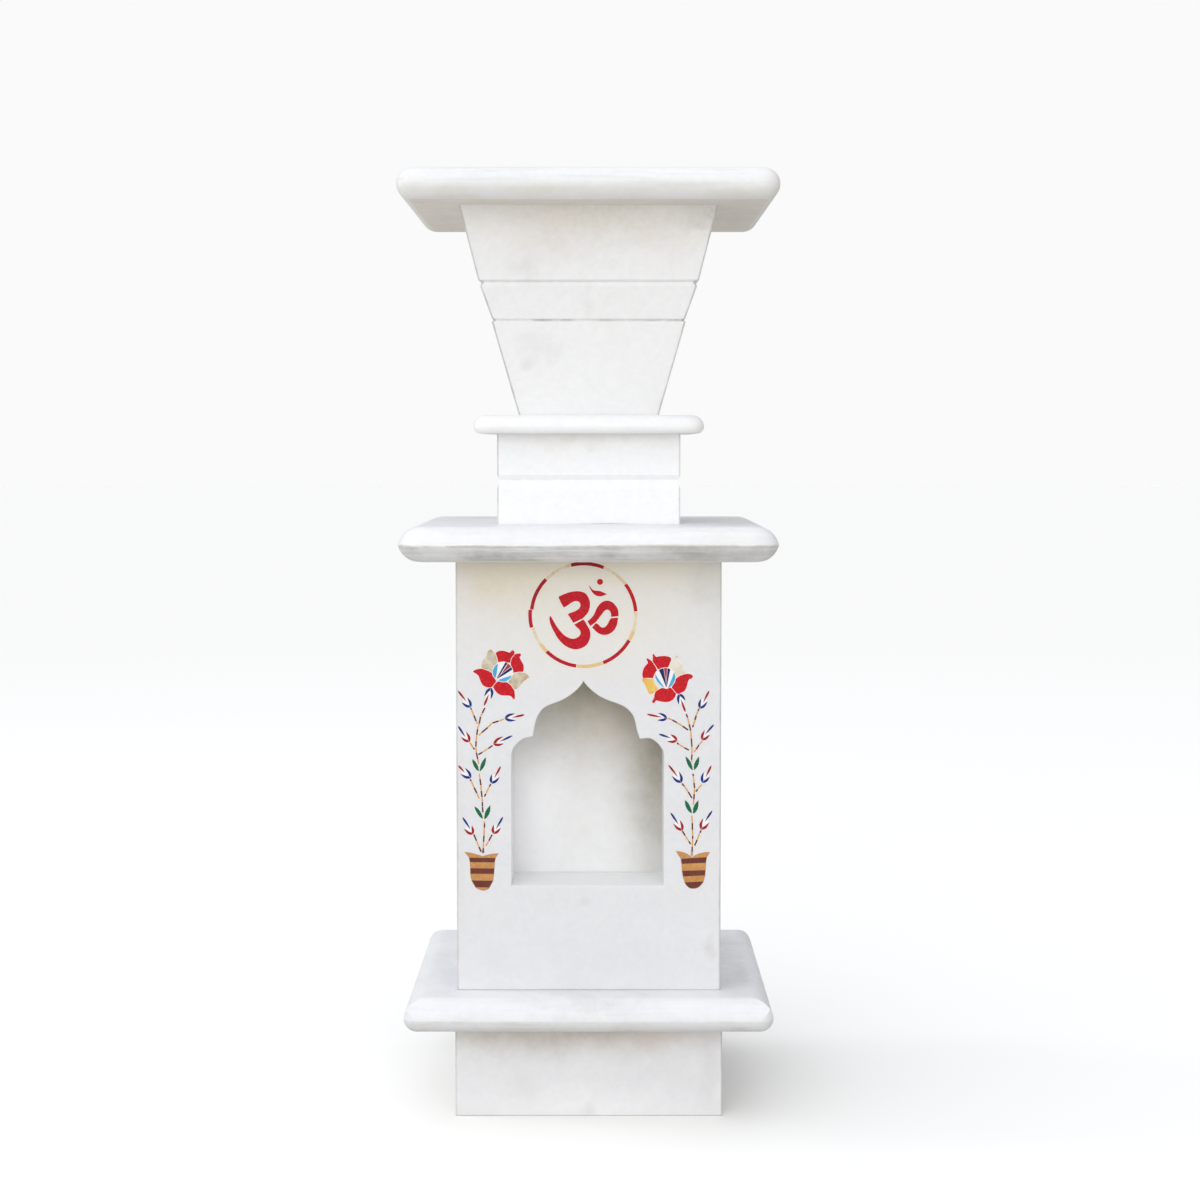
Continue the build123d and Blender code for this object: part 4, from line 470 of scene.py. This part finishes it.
# ---------------------------------------------------------------- the stones
def stone(name, base, dark, light, pattern="mottle", scale=220.0, rough=0.22, spread=0.5, seed=0.0, patches=()):
    """A polished inlay stone.  Each stone of a kind differs a little from the next.
    patches are places with a colour of their own: (x, z, radius, softness, colour, strength), in millimetres."""
    t = Tree(name)
    p = t.mapping(offset=(seed, seed * 0.7, seed * 1.9))
    geo = t.nt.nodes.new("ShaderNodeNewGeometry")
    each = geo.outputs["Random Per Island"]
    a = t.noise(p, scale, 5.0, 0.62, 0.4)
    b = t.noise(p, scale * 3.1, 4.0, 0.6)
    color = t.mix(t.mul(t.ramp(a, 0.34, 0.66), spread), base, dark)
    color = t.mix(t.mul(t.ramp(b, 0.52, 0.78), spread * 0.6), color, light)
    if pattern == "veined":
        ridge = t.math("ABSOLUTE", t.math("SUBTRACT", t.noise(p, scale * 0.6, 6.0, 0.6, 1.2), 0.5))
        color = t.mix(t.mul(t.ramp(ridge, 0.0, 0.035, 1.0, 0.0), 0.4), color, light)
    elif pattern == "banded":
        w = t.nt.nodes.new("ShaderNodeTexWave")
        w.wave_type = "RINGS"
        w.inputs["Scale"].default_value = scale * 0.9
        w.inputs["Distortion"].default_value = 6.0
        w.inputs["Detail"].default_value = 3.0
        t.link(p, w.inputs["Vector"])
        color = t.mix(t.mul(w.outputs["Fac"], 0.45), color, light)
    elif pattern == "nacre":
        c = t.voronoi(t.mapping(scale=(1, 1, 0.45), offset=(seed, 0, 0), turn=(0, 0.6, 0)), scale * 1.3, feature="SMOOTH_F1")
        color = t.mix(t.ramp(c, 0.2, 0.8, 0.0, 0.40), color, light)
        brown = t.ramp(t.noise(p, scale * 0.9, 4.0, 0.65, 0.8), 0.54, 0.68)
        color = t.mix(t.mul(brown, 0.60), color, dark)
    elif pattern == "pyrite":
        c = t.voronoi(p, scale * 6.0)
        color = t.mix(t.ramp(c, 0.05, 0.12, 0.25, 0.0), color, (0.65, 0.52, 0.26))
    for x, z, radius, soft, tone, strength in patches:
        d = t.vdist(t.obj, (x / 1000, FACE_Y, z / 1000), (radius / 1000, 0.03, radius / 1000))
        color = t.mix(t.mul(t.ramp(d, 1.0 - soft, 1.0, 1.0, 0.0), strength), color, tone)
    # stone to stone variation
    color = t.mix(t.mul(each, 0.16), color, dark)
    color = t.mix(t.mul(t.math("SUBTRACT", 1.0, each), 0.05), color, light)
    r = t.ramp(b, 0.3, 0.7, rough - 0.05, rough + 0.10)
    n = t.bump(t.noise(p, 260.0, 3.0, 0.5), 0.25, 0.00012)
    n = t.bump(t.noise(p, 1400.0, 3.0, 0.6), 0.2, 0.00004, n)
    return t.finish(color, r, n, specular=0.20)


WEDGE = (0.350, 0.050, 0.080)
DEEP_RED = (0.200, 0.006, 0.012)
AMBER = (0.62, 0.34, 0.10)
RED = stone("stone_red_jasper", (0.590, 0.010, 0.020), (0.420, 0.006, 0.012), (0.70, 0.045, 0.050), scale=150.0, seed=1.0,
            patches=[(-69.0, 363.2, 8.0, 0.01, WEDGE, 1.0), (61.8, 358.6, 7.87, 0.01, WEDGE, 1.0)])
# DEEP_RED at the top of the ring: painted shade under the ledge, and partly the stones' own deeper red
RED_RING = stone("stone_red_jasper_ring", (0.500, 0.010, 0.020), (0.340, 0.005, 0.012), (0.62, 0.040, 0.045), scale=150.0, seed=1.5,
                 patches=[(-4.0, 453.0, 19.0, 0.35, DEEP_RED, 0.75), (-40.0, 430.0, 18.0, 0.5, DEEP_RED, 0.55)])
RED_OM = stone("stone_red_jasper_sign", (0.530, 0.009, 0.020), (0.400, 0.006, 0.012), (0.62, 0.040, 0.048), scale=90.0, seed=2.0, spread=0.4)
RED_BUD = stone("stone_red_jasper_bud", (0.370, 0.016, 0.026), (0.210, 0.007, 0.013), (0.55, 0.045, 0.050), scale=210.0, seed=2.5)
SHELL = stone("stone_shell", (0.630, 0.565, 0.430), (0.36, 0.27, 0.15), (0.80, 0.77, 0.68), pattern="nacre", scale=140.0, spread=0.7, seed=3.0, rough=0.26,
              patches=[(-79.5, 382.0, 4.5, 0.8, AMBER, 0.6), (-86.5, 366.0, 3.5, 0.8, AMBER, 0.5), (-48.0, 359.0, 5.5, 0.8, AMBER, 0.6),
                       (-60.0, 349.5, 3.5, 0.8, AMBER, 0.5), (-52.5, 355.0, 3.0, 0.8, AMBER, 0.4)])
SHELL_RING = stone("stone_shell_ring", (0.740, 0.680, 0.520), (0.58, 0.42, 0.20), (0.84, 0.81, 0.70), pattern="nacre", scale=70.0, seed=4.0, rough=0.26,
                   patches=[(1.3, 366.3, 14.0, 0.4, (0.72, 0.48, 0.17), 0.80), (36.5, 391.0, 9.0, 0.7, (0.72, 0.47, 0.16), 0.85),
                            (-37.5, 381.0, 8.0, 0.7, (0.72, 0.47, 0.16), 0.80)])
SHELL_PALE = stone("stone_shell_pale", (0.790, 0.745, 0.650), (0.60, 0.48, 0.32), (0.88, 0.86, 0.80), pattern="nacre", scale=95.0, seed=5.0, rough=0.24,
                   patches=[(71.9, 377.0, 4.0, 0.8, AMBER, 0.6), (77.8, 361.0, 4.0, 0.8, AMBER, 0.6), (75.5, 368.5, 2.2, 0.8, AMBER, 0.35)])
TURQ = stone("stone_turquoise", (0.080, 0.430, 0.690), (0.045, 0.30, 0.54), (0.22, 0.58, 0.76), pattern="mottle", scale=140.0, seed=6.0)
LAPIS = stone("stone_lapis", (0.012, 0.022, 0.135), (0.006, 0.010, 0.065), (0.04, 0.07, 0.28), pattern="pyrite", scale=170.0, seed=7.0)
LAPIS_BUD = stone("stone_lapis_bud", (0.014, 0.035, 0.230), (0.007, 0.017, 0.120), (0.05, 0.09, 0.38), pattern="pyrite", scale=210.0, seed=8.0)
WHITE = stone("stone_chalcedony", (0.860, 0.860, 0.865), (0.70, 0.71, 0.73), (0.92, 0.92, 0.92), scale=120.0, seed=9.0, spread=0.3)
GOLD = stone("stone_gold", (0.800, 0.520, 0.120), (0.68, 0.33, 0.05), (0.88, 0.70, 0.30), pattern="nacre", scale=90.0, seed=10.0, spread=0.35,
             patches=[(43.0, 357.5, 4.0, 0.8, (0.74, 0.30, 0.05), 0.6), (50.5, 345.0, 4.0, 0.8, (0.74, 0.30, 0.05), 0.6)])
MALACHITE = stone("stone_malachite", (0.004, 0.125, 0.052), (0.002, 0.065, 0.030), (0.03, 0.24, 0.12), pattern="banded", scale=160.0, seed=11.0)
OCHRE = stone("stone_ochre", (0.570, 0.275, 0.085), (0.43, 0.18, 0.05), (0.70, 0.42, 0.18), pattern="veined", scale=130.0, seed=12.0, rough=0.28)
BROWN = stone("stone_brown", (0.170, 0.044, 0.032), (0.100, 0.024, 0.018), (0.27, 0.090, 0.06), pattern="mottle", scale=120.0, seed=13.0, rough=0.28)
STEM_L = stone("stone_stem_light", (0.680, 0.390, 0.160), (0.50, 0.25, 0.08), (0.78, 0.54, 0.30), scale=180.0, seed=14.0, rough=0.28)
STEM_D = stone("stone_stem_dark", (0.135, 0.038, 0.028), (0.080, 0.022, 0.018), (0.22, 0.075, 0.055), scale=180.0, seed=15.0, rough=0.28)

STONES = {
    "om_sign": RED_OM, "ring_red_stones": RED_RING, "ring_shell_stones": SHELL_RING,
    "flower_left_red_stones": RED, "flower_left_shell_petals": SHELL, "flower_left_turquoise_stones": TURQ,
    "flower_left_white_stones": WHITE, "flower_left_blue_stones": LAPIS,
    "flower_right_red_stones": RED, "flower_right_gold_petal": GOLD, "flower_right_shell_petal": SHELL_PALE,
    "flower_right_turquoise_stones": TURQ, "flower_right_white_stones": WHITE, "flower_right_blue_stones": LAPIS,
    "buds_left_red_stones": RED_BUD, "buds_left_blue_stones": LAPIS_BUD, "buds_left_white_stones": WHITE,
    "buds_right_red_stones": RED_BUD, "buds_right_blue_stones": LAPIS_BUD, "buds_right_white_stones": WHITE,
    "leaves_left": MALACHITE, "leaves_right": MALACHITE,
    "stems_left_light_stones": STEM_L, "stems_left_dark_stones": STEM_D,
    "stems_right_light_stones": STEM_L, "stems_right_dark_stones": STEM_D,
    "vase_left_ochre_bands": OCHRE, "vase_left_brown_bands": BROWN,
    "vase_right_ochre_bands": OCHRE, "vase_right_brown_bands": BROWN,
}
for node, mat in STONES.items():
    dress(node, mat)

# the pins
t = Tree("pin_steel")
turned = t.noise(t.mapping(scale=(1, 1, 60)), 40.0, 4.0, 0.6)
t.bsdf.inputs["Metallic"].default_value = 1.0
steel = t.finish(t.mix(t.ramp(turned, 0.3, 0.7), (0.50, 0.50, 0.51), (0.62, 0.62, 0.63)), t.ramp(turned, 0.3, 0.7, 0.28, 0.42),
                 t.bump(turned, 0.3, 0.00005))
for node in ("column_dowels", "neck_dowels"):
    dress(node, steel)


# ---------------------------------------------------------------- cement joints
def front_loops(obj, y, tol=2e-5):
    """Triangles of obj that lie in the plane at y and face forward, as 2-D (x, z) points."""
    me = obj.data
    key, pts, tris = {}, [], []
    for poly in me.polygons:
        if poly.normal.y > -0.999:
            continue
        co = [me.vertices[v].co for v in poly.vertices]
        if any(abs(c.y - y) > tol for c in co):
            continue
        idx = []
        for c in co:
            k = (round(c.x, 6), round(c.z, 6))
            if k not in key:
                key[k] = len(pts)
                pts.append(k)
            idx.append(key[k])
        if len(set(idx)) >= 3:
            tris.append(tuple(idx))
    return pts, tris


def outlines(pts, tris):
    """Groups of triangles that share corners, each with its bounding edges."""
    parent = list(range(len(pts)))

    def find(a):
        while parent[a] != a:
            parent[a] = parent[parent[a]]
            a = parent[a]
        return a

    for tri in tris:
        r = find(tri[0])
        for v in tri[1:]:
            parent[find(v)] = r
    groups = {}
    for tri in tris:
        groups.setdefault(find(tri[0]), []).append(tri)
    result = []
    for members in groups.values():
        count = {}
        for tri in members:
            for a, b in zip(tri, tri[1:] + tri[:1]):
                e = (a, b) if a < b else (b, a)
                count[e] = count.get(e, 0) + 1
        edges = [e for e, n in count.items() if n == 1]
        xs = [pts[v] for tri in members for v in tri]
        box = (min(p[0] for p in xs), min(p[1] for p in xs), max(p[0] for p in xs), max(p[1] for p in xs))
        result.append((edges, box))
    return result


def crossing(x, z, segments):
    """Even-odd test: is (x, z) inside the outline made of these segments."""
    inside = False
    for (ax, az), (bx, bz) in segments:
        if (az > z) != (bz > z) and x < (bx - ax) * (z - az) / (bz - az) + ax:
            inside = not inside
    return inside


def build_cement():
    """Cement in the narrow joint between every stone and its pocket, a hair below the polished face."""
    panel = NODES["column_front_panel"]
    depth = max(v.co.y for v in NODES["om_sign"].data.vertices)
    ppts, ptris = front_loops(panel, depth)
    pockets = outlines(ppts, ptris)
    stones = []
    for node in STONES:
        spts, stris = front_loops(NODES[node], FACE_Y)
        for edges, box in outlines(spts, stris):
            stones.append(([(spts[a], spts[b]) for a, b in edges], box))
    top, bottom = FACE_Y + 0.00004, FACE_Y + 0.0012
    verts, faces = [], []
    for edges, box in pockets:
        wall = [(ppts[a], ppts[b]) for a, b in edges]
        inner = [s for s in stones
                 if s[1][0] > box[0] - 1e-4 and s[1][1] > box[1] - 1e-4 and s[1][2] < box[2] + 1e-4 and s[1][3] < box[3] + 1e-4]
        inner = [s for s in inner if crossing(*s[0][0][0], wall)]
        key, pts, cons = {}, [], []
        for seg in wall + [e for s in inner for e in s[0]]:
            pair = []
            for p in seg:
                if p not in key:
                    key[p] = len(pts)
                    pts.append(Vector(p))
                pair.append(key[p])
            cons.append(tuple(pair))
        v2, _, f2, *_ = delaunay_2d_cdt(pts, cons, [], 0, 1e-7)
        keep = []
        for f in f2:
            cx = sum(v2[i][0] for i in f) / len(f)
            cz = sum(v2[i][1] for i in f) / len(f)
            if crossing(cx, cz, wall) and not any(crossing(cx, cz, s[0]) for s in inner
                                                  if s[1][0] <= cx <= s[1][2] and s[1][1] <= cz <= s[1][3]):
                area = 0.0
                for a, b in zip(f, f[1:] + f[:1]):
                    area += v2[a][0] * v2[b][1] - v2[b][0] * v2[a][1]
                if abs(area) < 1e-12:
                    continue
                keep.append(tuple(f) if area > 0 else tuple(reversed(f)))
        if not keep:
            continue
        used = sorted({i for f in keep for i in f})
        n = len(verts)
        at = {i: n + k for k, i in enumerate(used)}
        m = len(used)
        verts += [(v2[i][0], top, v2[i][1]) for i in used] + [(v2[i][0], bottom, v2[i][1]) for i in used]
        edge = {}
        for f in keep:
            faces.append([at[i] for i in f])
            faces.append([at[i] + m for i in reversed(f)])
            for a, b in zip(f, f[1:] + f[:1]):
                edge[(a, b)] = edge.get((a, b), 0) + 1
        for (a, b) in edge:
            if (b, a) not in edge:
                faces.append([at[b], at[a], at[a] + m, at[b] + m])
    me = bpy.data.meshes.new("inlay_cement")
    me.from_pydata(verts, [], faces)
    me.validate()
    me.update()
    o = bpy.data.objects.new("inlay_cement", me)
    bpy.context.scene.collection.objects.link(o)
    t = Tree("cement")
    a = t.noise(t.obj, 500.0, 4.0, 0.65)
    b = t.noise(t.obj, 60.0, 3.0, 0.6)
    color = t.mix(t.ramp(a, 0.35, 0.65), (0.90, 0.78, 0.74), (0.92, 0.88, 0.86))
    color = t.mix(t.mul(t.ramp(b, 0.50, 0.70), 0.30), color, (0.74, 0.54, 0.44))
    # a brown cement under the vases and the stems
    low = t.ramp(t.xyz()[2], 0.2165, 0.2185, 1.0, 0.0)
    color = t.mix(t.mul(low, 0.92), color, (0.40, 0.19, 0.08))
    me.materials.append(t.finish(color, 0.75, t.bump(a, 0.4, 0.0001), specular=0.3))
    return o


cement = build_cement()
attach(cement, "column")

# ---------------------------------------------------------------- the room
FLOOR_NEAR, FLOOR_FAR = (0.985, 0.980, 0.962), (0.967, 0.954, 0.927)
FLOOR_BOUNCE = (0.62, 0.605, 0.585)


def floor_piece():
    me = bpy.data.meshes.new("studio_floor")
    r = 30.0
    verts, faces = [(0.0, 0.0, 0.0)], []
    for k in range(64):
        a = 2 * math.pi * k / 64
        verts.append((r * math.cos(a), r * math.sin(a), 0.0))
    for k in range(64):
        faces.append((0, 1 + k, 1 + (k + 1) % 64))
    me.from_pydata(verts, [], faces)
    o = bpy.data.objects.new("studio_floor", me)
    bpy.context.scene.collection.objects.link(o)
    t = Tree("studio_floor")
    # painted light: the floor is brighter near the part than far off
    far = t.ramp(t.vdist(t.obj, (0, 0, 0)), 1.2, 5.0)
    seen = t.mix(far, FLOOR_NEAR, FLOOR_FAR)
    # the floor is brighter to the camera than to bounced light: bounced light sees FLOOR_BOUNCE
    path = t.nt.nodes.new("ShaderNodeLightPath")
    me.materials.append(t.finish(t.mix(path.outputs["Is Camera Ray"], FLOOR_BOUNCE, seen), 0.9, specular=0.0))
    return o


floor_piece()

world = bpy.data.worlds.new("studio")
bpy.context.scene.world = world
world.use_nodes = True
wt = world.node_tree
wt.nodes.clear()
out = wt.nodes.new("ShaderNodeOutputWorld")
seen = wt.nodes.new("ShaderNodeBackground")
seen.inputs["Color"].default_value = (0.956, 0.956, 0.956, 1)
light = wt.nodes.new("ShaderNodeBackground")
coord = wt.nodes.new("ShaderNodeTexCoord")
sep = wt.nodes.new("ShaderNodeSeparateXYZ")
wt.links.new(coord.outputs["Generated"], sep.inputs[0])
# soft boxes overhead and in front: radiance rises evenly from the horizon to the zenith, and towards the front;
# the left of the room is brighter than the right
SIDE = 0.32
HORIZON, ZENITH, FRONT = (0.130, 0.130, 0.130), (1.035, 1.060, 1.110), (0.750, 0.750, 0.745)


def rise(value, color):
    n = wt.nodes.new("ShaderNodeVectorMath")
    n.operation = "SCALE"
    n.inputs[0].default_value = color
    keep = wt.nodes.new("ShaderNodeMath")
    keep.operation = "MAXIMUM"
    keep.inputs[1].default_value = 0.0
    wt.links.new(value, keep.inputs[0])
    wt.links.new(keep.outputs[0], n.inputs["Scale"])
    return n.outputs[0]


def plus(a, b):
    n = wt.nodes.new("ShaderNodeVectorMath")
    n.operation = "ADD"
    for i, v in enumerate((a, b)):
        if isinstance(v, tuple):
            n.inputs[i].default_value = v
        else:
            wt.links.new(v, n.inputs[i])
    return n.outputs[0]


front = wt.nodes.new("ShaderNodeMath")
front.operation = "MULTIPLY"
front.inputs[1].default_value = -1.0
wt.links.new(sep.outputs["Y"], front.inputs[0])
side = wt.nodes.new("ShaderNodeMath")
side.operation = "MULTIPLY_ADD"
side.inputs[1].default_value, side.inputs[2].default_value = -SIDE, 1.0
wt.links.new(sep.outputs["X"], side.inputs[0])
lean = wt.nodes.new("ShaderNodeVectorMath")
lean.operation = "SCALE"
wt.links.new(plus(plus(rise(sep.outputs["Z"], ZENITH), rise(front.outputs[0], FRONT)), HORIZON), lean.inputs[0])
wt.links.new(side.outputs[0], lean.inputs["Scale"])
wt.links.new(lean.outputs[0], light.inputs["Color"])
light.inputs["Strength"].default_value = 1.0
path = wt.nodes.new("ShaderNodeLightPath")
mixer = wt.nodes.new("ShaderNodeMixShader")
wt.links.new(path.outputs["Is Camera Ray"], mixer.inputs["Fac"])
wt.links.new(light.outputs["Background"], mixer.inputs[1])
wt.links.new(seen.outputs["Background"], mixer.inputs[2])
wt.links.new(mixer.outputs["Shader"], out.inputs["Surface"])


def soft_light(name, at, to, width, height, watts, color):
    data = bpy.data.lights.new(name, "AREA")
    data.shape = "RECTANGLE"
    data.size, data.size_y = width, height
    data.energy = watts
    data.color = color
    o = bpy.data.objects.new(name, data)
    bpy.context.scene.collection.objects.link(o)
    o.location = at
    o.rotation_euler = (Vector(to) - Vector(at)).to_track_quat("-Z", "Y").to_euler()
    return o


soft_light("key", (-0.75, -3.0, 1.45), (0, 0, 0.40), 1.2, 1.2, 12.0, (1.0, 1.0, 1.0))
soft_light("low_right", (1.1, -3.0, 0.50), (0, 0, 0.35), 0.9, 0.6, 10.0, (1.0, 0.995, 0.98))
soft_light("left", (-2.2, 0.25, 0.80), (-0.15, 0, 0.05), 0.6, 0.6, 10.0, (1.0, 1.0, 1.0)).visible_camera = False

# ---------------------------------------------------------------- the camera
cam_data = bpy.data.cameras.new("camera")
cam_data.sensor_fit = "HORIZONTAL"
cam_data.sensor_width = 36.0
cam_data.lens = 36.0 * 2354.2 / 1200.0
cam_data.clip_start, cam_data.clip_end = 0.05, 100.0
cam = bpy.data.objects.new("camera", cam_data)
bpy.context.scene.collection.objects.link(cam)
cam.location = (0.00917, -1.99505, 0.5445)
cam.rotation_euler = (math.radians(90 - 3.74), math.radians(0.0), 0.0)
bpy.context.scene.camera = cam
bpy.context.scene.view_settings.view_transform = "Standard"
